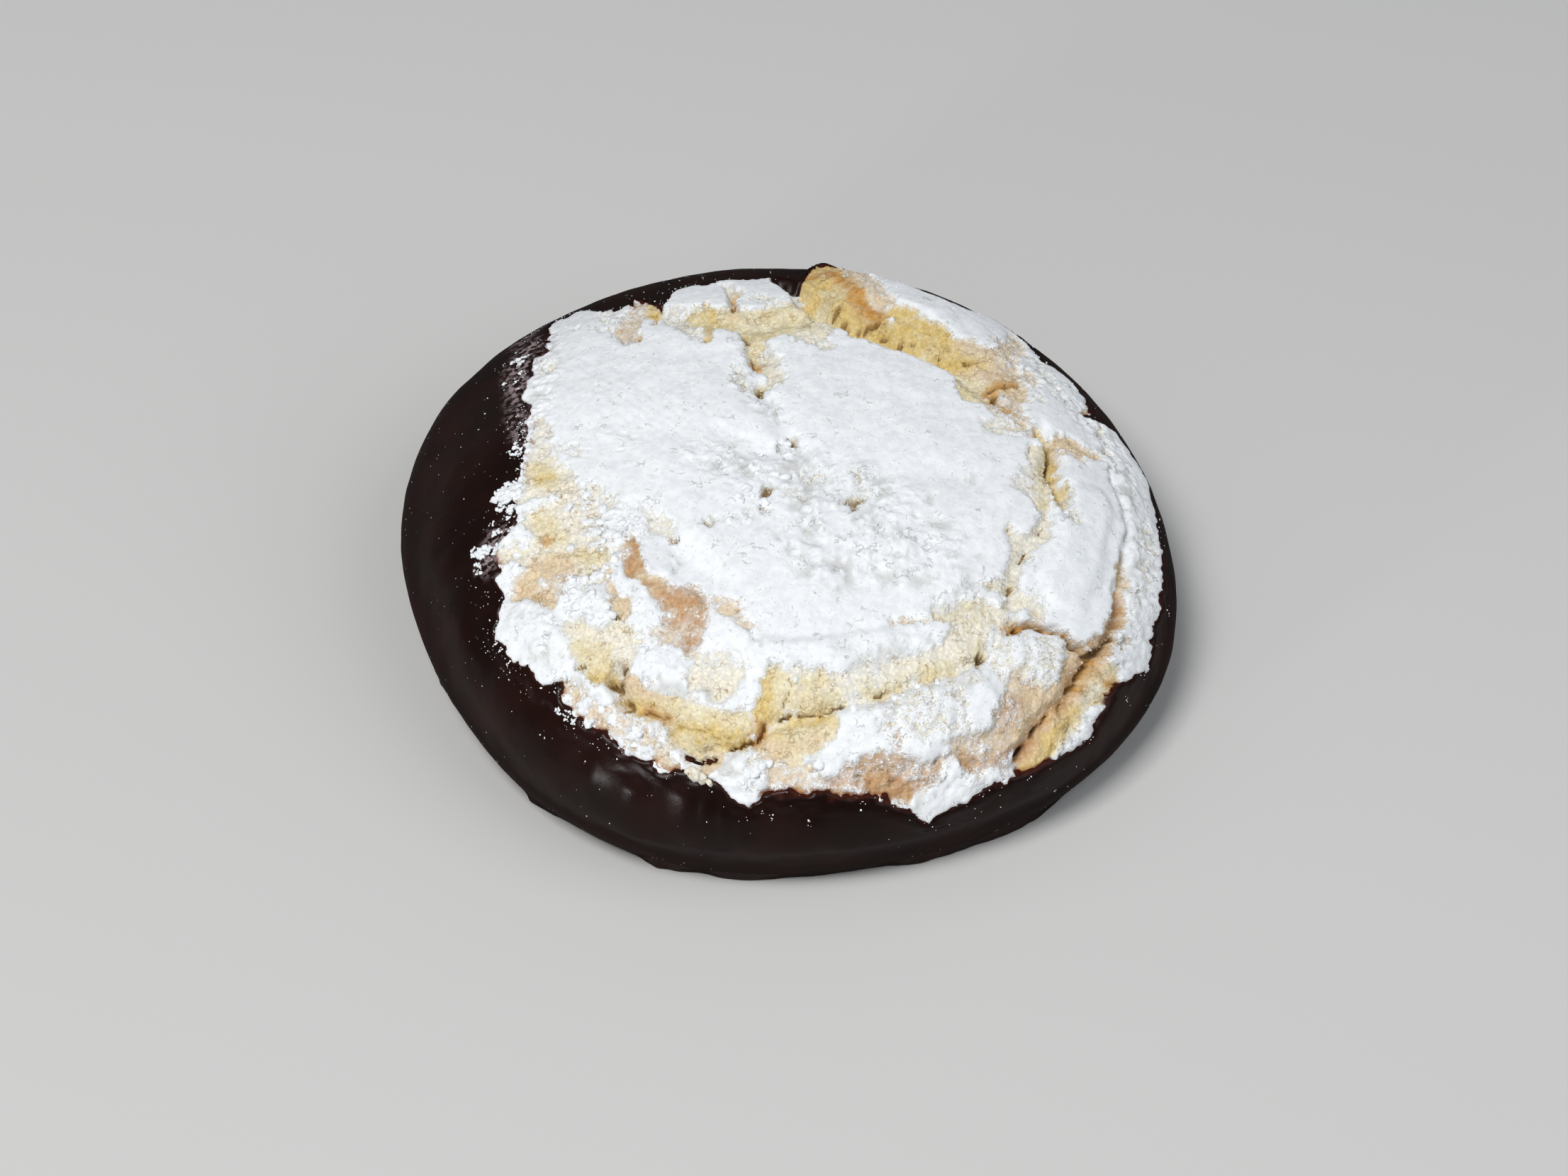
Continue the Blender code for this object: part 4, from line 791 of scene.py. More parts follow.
# %% Sizes of the relief
SUGAR_THICKNESS = 0.34
MEAN_RELIEF = 0.12
EDGE_DROP = 0.75
DEEP_DROP = 0.65
GAP_DEPTH = 0.12
NICK_SHARE = 0.6
FULL_PIT = 0.5
FULL_NICK = 0.3
STROKE_WANDER = 0.42
STROKE_FLUTTER = 0.3
LEVEL_NOISE = ((0.5, 0.75, 63.0), (0.6, 0.36, 65.0))  # amount, spacing in mm and seed
GRAIN_NOISE = ((0.12, 0.6, 73.0), (0.12, 1.2, 74.0))
GRAIN_HEIGHT = 0.22
CLUMP_HEIGHT = 0.18
CLUMP_SPACING = 1.25
SMALL_CLUMP_SPACING = 0.6
NICK_DENSITY = 0.85
NICK_RUN = 0.3
NICK_HALF_WIDTHS = (0.1, 0.22)
NICK_DEPTHS = (0.15, 0.35)
SWEPT = ((-15.0, 9.5, 2.0), (-11.0, 4.5, 3.0), (-7.0, 1.0, 2.4))
SWEEP_DIRECTION = (0.72, 0.69)
SWEEP_LINES = 8.5
SWEEP_HEIGHT = 0.012
print("thick sugar is", SUGAR_THICKNESS, "mm, and the crumb drops", EDGE_DROP, "mm under the chocolate")

# %% Rubble, and its small nicks at random places
RUBBLE = (
    ((-6.5, -1.5, 1.4), (-2.0, -3.0, 2.6), (2.0, -5.0, 3.6), (6.0, -7.0, 4.0), (4.0, -11.0, 4.0),
     (10.0, -11.0, 3.5)),
    ((-15.5, -5.5, 1.8), (-13.0, -8.5, 3.0), (-14.0, -11.5, 2.0), (-15.5, -14.0, 1.6),
     (-13.0, -17.0, 2.0)),
    ((-19.5, 17.0, 1.0), (-19.2, 11.5, 1.2), (-19.0, 5.0, 0.8)),
    ((-2.6, 11.0, 1.0), (-2.4, 6.5, 1.6), (-1.0, 3.0, 0.8)),
    ((15.0, -14.5, 2.2), (15.0, -19.0, 1.4)),
    ((20.0, 12.5, 1.6), (23.0, 9.0, 1.6), (25.6, 4.5, 1.5), (27.0, 0.0, 1.6), (27.8, -5.0, 1.8),
     (27.2, -10.0, 1.6), (26.0, -14.5, 1.6), (24.5, -18.0, 1.6), (21.5, -22.0, 1.4)),
    ((-19.0, -14.0, 1.6), (-17.0, -19.0, 1.4), (-13.0, -24.0, 1.4), (-9.0, -26.6, 1.2)),
    ((4.0, -21.0, 1.0), (9.0, -19.6, 1.0), (13.0, -15.0, 1.2)),
    ((-9.0, -22.5, 1.0), (-3.0, -24.0, 1.0)),
    ((6.0, -24.4, 0.8), (12.0, -21.6, 0.8), (14.8, -20.6, 0.8)),
    ((3.0, -28.0, 1.2), (9.0, -28.4, 1.2), (14.0, -26.4, 1.4)),
    ((-4.4, -27.9, 1.5), (-2.0, -28.6, 1.5)),
    ((-10.6, -20.6, 0.9), (-8.0, -21.4, 1.2)),
)
nick_dice = np.random.default_rng(5)
for rubble_stroke in RUBBLE:
    for start, end in zip(np.array(rubble_stroke), np.array(rubble_stroke[1:])):
        length = math.dist(start[:2], end[:2])
        for _ in range(int(NICK_DENSITY * (start[2] + end[2]) * length ** 0.8)):
            x, y, half = start + (end - start) * nick_dice.uniform(0, 1)
            away = nick_dice.normal(0, 0.5 * half, 2)
            run = nick_dice.normal(0, NICK_RUN, 2)
            size = nick_dice.uniform(*NICK_HALF_WIDTHS), nick_dice.uniform(*NICK_DEPTHS)
            nick_strokes.append(short_stroke(x + away[0], y + away[1], *run, *size))
print(len(nick_strokes), "nicks in the sugar in all")


# %% Height of the crust
def coarse_relief(points):
    """Plates, cracks, hollows and lumps, shared by crumb and chocolate."""
    wobble = np.stack([lumpy(points, 1.7, seed) for seed in (11.0, 17.0, 23.0)], axis=-1)
    bent = points + 0.4 * wobble
    plates = relief(bent, PLATES.values(), 0.55)
    cracks = relief(bent, CRACKS.values(), 0.85)
    hollows = relief(bent, HOLLOWS.values(), 1.0)
    lumps = sum(height * lumpy(points, spacing, 5.0 + spacing) for height, spacing in LUMPS)
    return plates - cracks - hollows + lumps


def rubbly(points):
    """Where the sugar is crumbled instead of smooth, from 0 to 1."""
    return np.max([smooth_step(-1.2, 0.8, inside(points, stroke)) for stroke in RUBBLE], axis=0)


def crust(angle, down):
    """Outward height of the crumb with its sugar, in mm, and the marks that the finish reads."""
    points = body_point(angle, down)
    past = under_chocolate(points, angle, down)
    wander = np.stack([lumpy(points, 1.3, seed) for seed in (41.0, 43.0, 47.0)], axis=-1)
    flutter = np.stack([lumpy(points, 0.5, seed) for seed in (42.0, 44.0, 48.0)], axis=-1)
    level, tones = sugar_level(points + STROKE_WANDER * wander + STROKE_FLUTTER * flutter)
    for amount, spacing, seed in LEVEL_NOISE:
        level = level + amount * lumpy(points, spacing, seed)
    pits = relief(points + 0.2 * wander + 0.16 * flutter, pit_strokes, 0.5)
    pit_mark = np.clip(pits / FULL_PIT, 0, 1)
    nicks = relief(points + 0.25 * flutter, nick_strokes, 0.6)
    level = level - 1.5 * pit_mark
    sugar = smooth_step(-0.4, 0.7, level)

    rubble = rubbly(points)
    clumps = crumbs(points + 0.25 * flutter, CLUMP_SPACING, 57.0)
    small_clumps = crumbs(points + 0.2 * wander, SMALL_CLUMP_SPACING, 58.0)
    powder = 0.04 * lumpy(points, 2.2, 59.0) + (0.015 + 0.045 * rubble) * lumpy(points, 0.5, 61.0)
    powder += rubble * (CLUMP_HEIGHT * (clumps - 0.45) + CLUMP_HEIGHT * (small_clumps - 0.4))
    swept_way = points[:, 0] * SWEEP_DIRECTION[0] + points[:, 1] * SWEEP_DIRECTION[1]
    sweep = np.sin(swept_way * SWEEP_LINES + 2.0 * lumpy(points, 4.0, 69.0))
    powder += SWEEP_HEIGHT * sweep * smooth_step(-2.0, 1.0, inside(points, SWEPT))
    grain = GRAIN_HEIGHT * (small_clumps - 0.5)
    for amount, spacing, seed in GRAIN_NOISE:
        grain = grain + amount * lumpy(points, spacing, seed)
    # Gaps and nicks are dents in the mesh, and through the gap mark the finish also paints grey shade into
    # them.
    gaps = rubble * smooth_step(0.32, 0.1, clumps) * smooth_step(-0.1, 0.3, lumpy(points, 2.4, 75.0))
    gaps = np.maximum(gaps, np.clip(nicks / FULL_NICK, 0, 1))

    fade = 1 - smooth_step(0.0, 0.6, past)
    height = coarse_relief(points) * (1 - smooth_step(0.2, 2.0, past)) - MEAN_RELIEF
    fine = SUGAR_THICKNESS * sugar + powder * sugar + grain * (1 - sugar)
    fine = fine - GAP_DEPTH * gaps - pits - NICK_SHARE * nicks
    height += fine * fade
    height -= EDGE_DROP * smooth_step(-0.05, 0.5, past) + DEEP_DROP * smooth_step(0.3, 4.0, past)
    marks = {"sugar": level, "pit": pit_mark, "past": np.clip(past, -3, 3), "rubble": rubble, "gap": gaps}
    marks.update(tones)
    return height, marks


# %% [markdown]
# ## The biscuit's mesh
#
# A ball would crowd its faces at the pole, in the middle of the view. So the skin is a square grid
# pressed into a disc, which keeps the cells even, laid over the dome and closed underneath by a few
# wide rings that sit in the chocolate cup. The grid holds clumps of about half a millimetre, and
# finer grain is left to the finish.

# %% Mesh helpers
def mesh_piece(name, points, faces, material, marks=None):
    """A smooth mesh from points in mm, with its marks, riding on the body."""
    mesh = bpy.data.meshes.new(name)
    mesh.from_pydata(((np.asarray(points) - MIDDLE) * MM).tolist(), [], faces)
    mesh.update()
    for mark, values in (marks or {}).items():
        layer = mesh.attributes.new(mark, "FLOAT", "POINT")
        layer.data.foreach_set("value", np.asarray(values, np.float32))
    mesh.shade_smooth()
    mesh.materials.append(material)
    piece = bpy.data.objects.new(name, mesh)
    bpy.context.scene.collection.objects.link(piece)
    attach(piece, "root")
    triangles = sum(len(face) - 2 for face in faces)
    print(name, "has", triangles, "triangles")
    return piece


def ring_faces(first, second):
    """Faces between two closed rings of point numbers."""
    count = len(first)
    return [(first[i], first[(i + 1) % count], second[(i + 1) % count], second[i]) for i in range(count)]


# %% Square grid pressed into a disc
GRID = 290
side = np.linspace(-1.0, 1.0, GRID)
across, along = [axis.ravel() for axis in np.meshgrid(side, side, indexing="ij")]
wide = np.abs(across) > np.abs(along)
with np.errstate(divide="ignore", invalid="ignore"):
    turn = np.where(wide, math.pi / 4 * along / across, math.pi / 2 - math.pi / 4 * across / along)
turn = np.nan_to_num(turn)
reach = np.where(wide, across, along)
GRID_ANGLE = np.arctan2(reach * np.sin(turn), reach * np.cos(turn))
GRID_REACH = np.abs(reach)
number = np.arange(GRID * GRID).reshape(GRID, GRID)
cell_corners = [number[:-1, :-1], number[1:, :-1], number[1:, 1:], number[:-1, 1:]]
grid_faces = np.stack(cell_corners, axis=-1).reshape(-1, 4)
grid_border = np.concatenate([number[:-1, 0], number[-1, :-1], number[:0:-1, -1], number[0, :0:-1]])
print(len(grid_faces), "cells, border of", len(grid_border), "points")

# %% [markdown]
# ## Finishes
#
# Every finish is built from noise in the object's own space and from marks stored on the mesh, so
# it stays on the piece from every side. Small helper functions keep the node trees readable.

# %% Node helpers
def new_material(name):
    """An empty material with its shader and its coordinates in mm."""
    material = bpy.data.materials.new(name)
    material.use_nodes = True
    tree = material.node_tree
    shader = tree.nodes["Principled BSDF"]
    place = tree.nodes.new("ShaderNodeTexCoord")
    to_mm = tree.nodes.new("ShaderNodeVectorMath")
    to_mm.operation = "SCALE"
    to_mm.inputs["Scale"].default_value = 1 / MM
    tree.links.new(place.outputs["Object"], to_mm.inputs[0])
    return material, tree, shader, to_mm.outputs["Vector"]


def noise_value(tree, place, spacing, detail=2.0, roughness=0.5):
    """Noise from 0 to 1 with lumps of the given spacing in mm."""
    node = tree.nodes.new("ShaderNodeTexNoise")
    node.inputs["Scale"].default_value = 1 / spacing
    node.inputs["Detail"].default_value = detail
    node.inputs["Roughness"].default_value = roughness
    tree.links.new(place, node.inputs["Vector"])
    return node.outputs["Fac"]


def grain_value(tree, place, spacing):
    """Distance to the nearest grain, for cells of the given spacing in mm."""
    node = tree.nodes.new("ShaderNodeTexVoronoi")
    node.inputs["Scale"].default_value = 1 / spacing
    tree.links.new(place, node.inputs["Vector"])
    return node.outputs["Distance"]


def mark_value(tree, name):
    """A mark stored on the mesh."""
    node = tree.nodes.new("ShaderNodeAttribute")
    node.attribute_name = name
    return node.outputs["Fac"]


def calculate(tree, operation, first, second):
    """Arithmetic between sockets or numbers."""
    node = tree.nodes.new("ShaderNodeMath")
    node.operation = operation
    for socket, value in zip(node.inputs, (first, second)):
        if isinstance(value, (int, float)):
            socket.default_value = value
        else:
            tree.links.new(value, socket)
    return node.outputs[0]


def plus(tree, first, second):
    """The sum of two values."""
    return calculate(tree, "ADD", first, second)


def minus(tree, first, second):
    """One value less another."""
    return calculate(tree, "SUBTRACT", first, second)


def times(tree, first, second):
    """The product of two values."""
    return calculate(tree, "MULTIPLY", first, second)


def soft_range(tree, value, low, high, to_low=0.0, to_high=1.0):
    """Maps a value softly from one range to another."""
    node = tree.nodes.new("ShaderNodeMapRange")
    node.interpolation_type = "SMOOTHSTEP"
    for socket, setting in zip(list(node.inputs)[1:5], (low, high, to_low, to_high)):
        socket.default_value = setting
    tree.links.new(value, node.inputs[0])
    return node.outputs[0]


def blend(tree, share, first, second):
    """Mixes two colours; each is a socket or a linear colour."""
    node = tree.nodes.new("ShaderNodeMix")
    node.data_type = "RGBA"
    for socket, value in ((node.inputs[0], share), (node.inputs[6], first), (node.inputs[7], second)):
        if isinstance(value, (int, float)):
            socket.default_value = value
        elif isinstance(value, tuple):
            socket.default_value = (*value, 1.0)
        else:
            tree.links.new(value, socket)
    return node.outputs[2]


def shade(tree, colour, value):
    """A colour made lighter or darker by a value."""
    node = tree.nodes.new("ShaderNodeVectorMath")
    node.operation = "SCALE"
    tree.links.new(colour, node.inputs[0])
    tree.links.new(value, node.inputs["Scale"])
    return node.outputs["Vector"]


def add_bump(tree, shader, height, distance, strength):
    """Fine relief that is too small for the mesh; the distance is in mm."""
    node = tree.nodes.new("ShaderNodeBump")
    node.inputs["Strength"].default_value = strength
    node.inputs["Distance"].default_value = distance * MM
    tree.links.new(height, node.inputs["Height"])
    tree.links.new(node.outputs["Normal"], shader.inputs["Normal"])


def tint(red, green, blue):
    """A colour given from 0 to 255 as seen on a screen, turned to the linear values that Blender uses."""
    def linear(value):
        value /= 255
        return value / 12.92 if value <= 0.04045 else ((value + 0.055) / 1.055) ** 2.4
    return linear(red), linear(green), linear(blue)


# %% [markdown]
# ## Crumb and icing sugar
#
# Baked almond crumb is grainy and matt: pale yellow inside, golden to tan where the oven reached it.
# The sugar on it is a dry white powder. Its edge is not a clean line but a spray of specks, so the
# finish compares the stored sugar level with fine noise: thick sugar passes everywhere, a veil
# passes only in specks. The patches come from the strokes above, and the specks, which no one
# could draw one by one, stay sharp in a close view. What is too small for the mesh is bump: powder,
# granules of sugar and grains of crumb.

# %% Colours of sugar and crumb
WHITE_SUGAR = tint(242, 245, 248)
SHADED_SUGAR = tint(232, 236, 240)
# Painted shade: the grey laid into the crevices of the sugar.
CREVICE_SHADE = tint(160, 164, 164)
# Painted shade: the grey laid into the gaps between clumps and into the nicks.
GAP_SHADE = tint(190, 190, 184)
PALE_CRUMB = tint(236, 228, 198)
WARM_CRUMB = tint(228, 214, 174)
DEEP_GOLD = tint(208, 170, 96)
DARK_GRAIN = tint(182, 148, 98)
# Painted shade: the dark laid along hairline cracks in the crumb.
HAIRLINE_SHADE = tint(160, 126, 74)
# Painted shade: the dark brown laid into the pits.
PIT_SHADE = tint(122, 92, 48)
SCORCHED = tint(152, 92, 48)
# Amber and toast are darker, toasted tones of the crumb. Where strokes lay them in slits and grooves, they
# also paint the shade there.
CRUMB_TONES = {
    "cream": tint(240, 235, 220), "gold": tint(224, 198, 130), "amber": tint(204, 150, 76),
    "tan": tint(226, 204, 172), "toast": tint(196, 154, 112),
}
SPECKS = ((0.4, 3.0, 0.62, 2.4), (0.15, 2.0, 0.6, 3.4))
print(len(CRUMB_TONES), "tones of crumb")


# %% Where the sugar covers and where it splits
def sugar_cover(tree, place):
    """Share of sugar; specks have a spacing in mm, a detail, a roughness and a strength."""
    level = mark_value(tree, "sugar")
    for spacing, detail, roughness, strength in SPECKS:
        specks = noise_value(tree, place, spacing, detail, roughness)
        level = plus(tree, level, times(tree, minus(tree, specks, 0.5), strength))
    return soft_range(tree, level, -0.1, 0.4)


def hairlines(tree, place):
    """Distance from winding hairline cracks, and how likely such cracks are at a place."""
    winding = noise_value(tree, place, 1.1, 2.5, 0.65)
    distance = calculate(tree, "ABSOLUTE", minus(tree, winding, 0.5), 0.0)
    likely = plus(tree, noise_value(tree, place, 1.4, 2.0), times(tree, mark_value(tree, "rubble"), 0.08))
    return distance, likely


# %% Crumb and sugar as node trees
def crumb_colour(tree, place, grains, line_distance, lines_likely):
    """Tones of the crumb, thin dust, grains, the scorched edge, and painted shade in grain gaps, hairline
    cracks and pits.
    """
    warm = soft_range(tree, noise_value(tree, place, 1.6, 3.0, 0.6), 0.35, 0.65)
    colour = blend(tree, warm, PALE_CRUMB, WARM_CRUMB)
    uneven = soft_range(tree, noise_value(tree, place, 0.9, 4.0, 0.65), 0.32, 0.55, 0.65, 1.0)
    for tone, tone_colour in CRUMB_TONES.items():
        colour = blend(tree, times(tree, mark_value(tree, tone), uneven), colour, tone_colour)
    golden = plus(tree, mark_value(tree, "gold"), mark_value(tree, "amber"))
    golden_spots = soft_range(tree, noise_value(tree, place, 1.0, 3.0, 0.6), 0.5, 0.68, 0.0, 0.4)
    colour = blend(tree, times(tree, golden, golden_spots), colour, DEEP_GOLD)
    dusted = times(tree, soft_range(tree, mark_value(tree, "sugar"), -1.2, 0.4), 0.5)
    colour = blend(tree, dusted, colour, SHADED_SUGAR)
    # Painted light and shade on the grains: centres a little lighter, the gaps between grains darker.
    colour = shade(tree, colour, soft_range(tree, grains, 0.1, 0.8, 1.05, 0.86))
    dark_grains = soft_range(tree, noise_value(tree, place, 0.22, 3.0, 0.7), 0.56, 0.7, 0.0, 0.45)
    not_cream = minus(tree, 1.0, times(tree, mark_value(tree, "cream"), 0.9))
    colour = blend(tree, times(tree, dark_grains, not_cream), colour, DARK_GRAIN)
    # Painted shade: thin dark lines where hairline cracks run through the crumb.
    thin_line = soft_range(tree, line_distance, 0.005, 0.035, 1.0, 0.0)
    lines = times(tree, thin_line, soft_range(tree, lines_likely, 0.48, 0.6))
    colour = blend(tree, times(tree, lines, 0.55), colour, HAIRLINE_SHADE)
    # Painted shade: dark brown in the pits.
    colour = blend(tree, soft_range(tree, mark_value(tree, "pit"), 0.15, 1.0, 0.0, 0.85), colour, PIT_SHADE)
    at_edge = soft_range(tree, mark_value(tree, "past"), -0.5, 0.0, 0.0, 0.8)
    return blend(tree, at_edge, colour, SCORCHED)


def sugar_colour(tree, powder, crevices):
    """White powder, with painted grey shade in its crevices and in the gaps between its clumps."""
    colour = blend(tree, soft_range(tree, powder, 0.35, 0.6), SHADED_SUGAR, WHITE_SUGAR)
    # Painted shade: grey where the crevices run; the bump also dents them.
    colour = blend(tree, times(tree, crevices, 0.5), colour, CREVICE_SHADE)
    # Painted shade: grey in the gaps between clumps and in the nicks.
    return blend(tree, times(tree, mark_value(tree, "gap"), 0.55), colour, GAP_SHADE)


# %% Sugared crumb
CRUMB_ROUGHNESS = 0.85
CRUMB_SPECULAR = 0.2
CRUMB_BUMP = (0.13, 0.5)


def sugared_crumb():
    """Crumb with its sugar, from the marks on the mesh."""
    material, tree, shader, place = new_material("sugared crumb")
    cover = sugar_cover(tree, place)
    grains = grain_value(tree, place, 0.3)
    line_distance, lines_likely = hairlines(tree, place)
    crumb = crumb_colour(tree, place, grains, line_distance, lines_likely)
    powder = noise_value(tree, place, 0.7, 3.0, 0.6)
    narrow = soft_range(tree, line_distance, 0.008, 0.04, 1.0, 0.0)
    crevices = times(tree, narrow, soft_range(tree, lines_likely, 0.6, 0.72))
    sugar = sugar_colour(tree, powder, crevices)
    tree.links.new(blend(tree, cover, crumb, sugar), shader.inputs["Base Color"])
    shader.inputs["Roughness"].default_value = CRUMB_ROUGHNESS
    shader.inputs["Specular IOR Level"].default_value = CRUMB_SPECULAR

    rough = plus(tree, 0.35, times(tree, mark_value(tree, "rubble"), 0.65))
    granules = soft_range(tree, grain_value(tree, place, 0.55), 0.15, 0.75, 1.0, 0.0)
    granule_zones = soft_range(tree, noise_value(tree, place, 1.8, 2.0), 0.4, 0.62, 0.1, 0.9)
    granular = times(tree, times(tree, granules, rough), granule_zones)
    height = times(tree, minus(tree, 1.0, cover), minus(tree, 0.6, grains))
    height = plus(tree, height, times(tree, cover, 0.6))
    height = plus(tree, height, times(tree, powder, rough))
    height = plus(tree, height, granular)
    height = minus(tree, height, times(tree, crevices, 0.8))
    add_bump(tree, shader, height, *CRUMB_BUMP)
    return material


# %% Build the biscuit
UNDERLAP = 2.6
INSET = 1.4
UNDERSIDE_LEVEL = 1.35
WALL_RINGS = (0.25, 0.6, 1.0)
UNDERSIDE_RINGS = (0.66, 0.3)
calm_border = calm_rim_arc(GRID_ANGLE) + UNDERLAP
biscuit_down = down_at(GRID_REACH * calm_border)
biscuit_height, biscuit_marks = crust(GRID_ANGLE, biscuit_down)
biscuit_points = body_point(GRID_ANGLE, biscuit_down, biscuit_height)

border_angle = GRID_ANGLE[grid_border]
border_down = biscuit_down[grid_border]
rings = []
for share in WALL_RINGS:
    ring_down = border_down + (FLOOR_CORNER - border_down) * share
    rings.append(body_point(border_angle, ring_down, -INSET))
    rings[-1][:, 2] = np.maximum(rings[-1][:, 2], UNDERSIDE_LEVEL)
wall_foot = rings[-1]
for share in UNDERSIDE_RINGS:
    rings.append(np.column_stack([wall_foot[:, :2] * share, np.full(len(grid_border), UNDERSIDE_LEVEL)]))

all_points = [biscuit_points] + rings + [np.array([[0.0, 0.0, UNDERSIDE_LEVEL]])]
faces = grid_faces.tolist()
previous = grid_border
for index in range(len(rings)):
    start = GRID * GRID + index * len(grid_border)
    current = np.arange(start, start + len(grid_border))
    faces += ring_faces([int(v) for v in previous], [int(v) for v in current])
    previous = current
last = GRID * GRID + len(rings) * len(grid_border)
faces += [(int(previous[i]), int(previous[(i + 1) % len(previous)]), last) for i in range(len(previous))]
extra = last + 1 - GRID * GRID
padded = {mark: np.append(values, np.zeros(extra)) for mark, values in biscuit_marks.items()}
crumb_finish = sugared_crumb()
body_points = np.concatenate(all_points)
biscuit = mesh_piece("biscuit_crust", body_points, faces, crumb_finish, padded)
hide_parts("biscuit")

# %% [markdown]
# ## The chocolate coat
#
# Melted chocolate wets the biscuit, runs down a little and sets with a soft gloss. Below it spreads
# on the tray into a thin foot. The coat is a closed cup, like the solid: its rows follow the calm
# edge line, and its skin dips under the crumb above the ragged line, so the two surfaces meet there
# as in a real dip. A plain band cut with a knife-straight edge would look like paint. The foot's
# edge is a table of directions and radii. A run has a direction, the angles down where it starts
# and ends, its half width and its height. Strokes of haze show where the chocolate has bloomed.

# %% Shape of the chocolate
COAT_COLUMNS = 640
COAT_ROWS = 100
LIP = 2.4
SKIN_HEIGHT = 0.06
BEAD_HEIGHT = 0.10
FAR_PAST = 6.0
FOOT_EDGE = (
    (-180, 29.2), (-160, 28.4), (-148, 27.7), (-140, 27.6), (-136, 27.9), (-132, 28.9), (-124, 28.6),
    (-115, 28.8), (-109, 29.6), (-102, 29.3), (-96, 29.5), (-90, 29.0), (-82, 28.8), (-75, 28.9),
    (-70, 29.4), (-64, 29.5), (-57, 29.8), (-51, 30.1), (-45, 29.7), (-39, 29.5), (-33, 29.9),
    (-27, 30.2), (-20, 29.7), (0, 29.5), (30, 29.2), (60, 28.9), (85, 29.2), (110, 29.0), (140, 29.3),
    (165, 29.5),
)
DRIPS = (
    (-104, 70, 88, 1.0, 0.16), (-101, 71, 84, 0.5, 0.14), (-98.6, 74, 86, 0.45, 0.16),
    (-96, 77, 90, 0.6, 0.14), (-112, 72, 96, 1.4, 0.14), (-118, 68, 84, 0.8, 0.1),
    (-86, 78, 92, 1.0, 0.1), (-150, 66, 92, 2.2, 0.12),
)


def chocolate(angle, down):
    """Outward height of the chocolate's skin in mm, and the marks that its finish reads."""
    points = body_point(angle, down)
    past = under_chocolate(points, angle, down)
    height = -EDGE_DROP + (EDGE_DROP + SKIN_HEIGHT) * smooth_step(-0.45, 0.18, past)
    height += BEAD_HEIGHT * smooth_step(0.1, 0.5, past) * (1 - smooth_step(0.6, 1.8, past))
    near = past < 2.2
    coarse = np.zeros(len(points))
    coarse[near] = coarse_relief(points[near])
    height += coarse * (1 - smooth_step(0.2, 2.0, past))
    waves = 0.14 * lumpy(points, 5.5, 81.0) + 0.05 * lumpy(points, 1.8, 83.0)
    height += waves * smooth_step(0.2, 1.5, past)
    for direction, start, end, half, amount in DRIPS:
        apart = plan_radius(angle) * np.abs((np.degrees(angle) - direction + 180) % 360 - 180) * math.pi / 180
        reach_down = smooth_step(start - 3, start + 3, down) * (1 - smooth_step(end - 6, end + 4, down))
        height += amount * np.exp(-(apart / half) ** 2) * reach_down
    return height, {"past": np.clip(past, -3, FAR_PAST)}


def foot_radius(angle):
    """How far the foot spreads."""
    direction, radius = np.array(FOOT_EDGE, float).T
    ring = np.stack([np.cos(angle), np.sin(angle), 0 * angle], axis=-1) * 30
    calm = np.interp(np.degrees(angle), direction, radius, period=360.0)
    return calm + 0.14 * lumpy(ring, 2.4, 91.0) + 0.07 * lumpy(ring, 0.8, 93.0)


# %% Finish of the chocolate
DARK_SKIN = tint(21, 8, 5)
BROWN_SKIN = tint(31, 12, 8)
THIN_SKIN = tint(70, 28, 16)
BLOOM = tint(146, 130, 132)
CHOCOLATE_IOR = 1.4
CHOCOLATE_SPECULAR = 0.2
CHOCOLATE_BUMP = (0.05, 0.3)


def dark_chocolate():
    """Satin dark chocolate: reddish where it is thin, with a faint bloom and fine dust."""
    material, tree, shader, place = new_material("dark chocolate")
    cloudy = noise_value(tree, place, 4.5, 3.0, 0.55)
    fine = noise_value(tree, place, 0.5, 3.0, 0.6)
    colour = blend(tree, soft_range(tree, cloudy, 0.35, 0.7), DARK_SKIN, BROWN_SKIN)
    thin = soft_range(tree, mark_value(tree, "past"), 0.0, 0.35, 0.7, 0.0)
    colour = blend(tree, thin, colour, THIN_SKIN)
    haze = times(tree, mark_value(tree, "haze"), soft_range(tree, fine, 0.45, 0.6))
    colour = blend(tree, haze, colour, BLOOM)
    tree.links.new(colour, shader.inputs["Base Color"])
    turned_away = tree.nodes.new("ShaderNodeLayerWeight")
    turned_away.inputs["Blend"].default_value = 0.5
    gloss = soft_range(tree, turned_away.outputs["Facing"], 0.35, 0.75, 0.28, 1.0)
    tree.links.new(plus(tree, gloss, times(tree, haze, 0.3)), shader.inputs["Roughness"])
    shader.inputs["IOR"].default_value = CHOCOLATE_IOR
    shader.inputs["Specular IOR Level"].default_value = CHOCOLATE_SPECULAR
    add_bump(tree, shader, fine, *CHOCOLATE_BUMP)
    return material


# %% Build the coat
coat_angle = np.linspace(-math.pi, math.pi, COAT_COLUMNS, endpoint=False)
top_arc = calm_rim_arc(coat_angle) - LIP
foot_arc = arc_at(FLOOR_CORNER)
row_share = np.linspace(0, 1, COAT_ROWS) ** 1.2
outer_angle = np.tile(coat_angle, COAT_ROWS)
outer_down = down_at((top_arc[None, :] + (foot_arc - top_arc)[None, :] * row_share[:, None]).ravel())
outer_height, outer_marks = chocolate(outer_angle, outer_down)

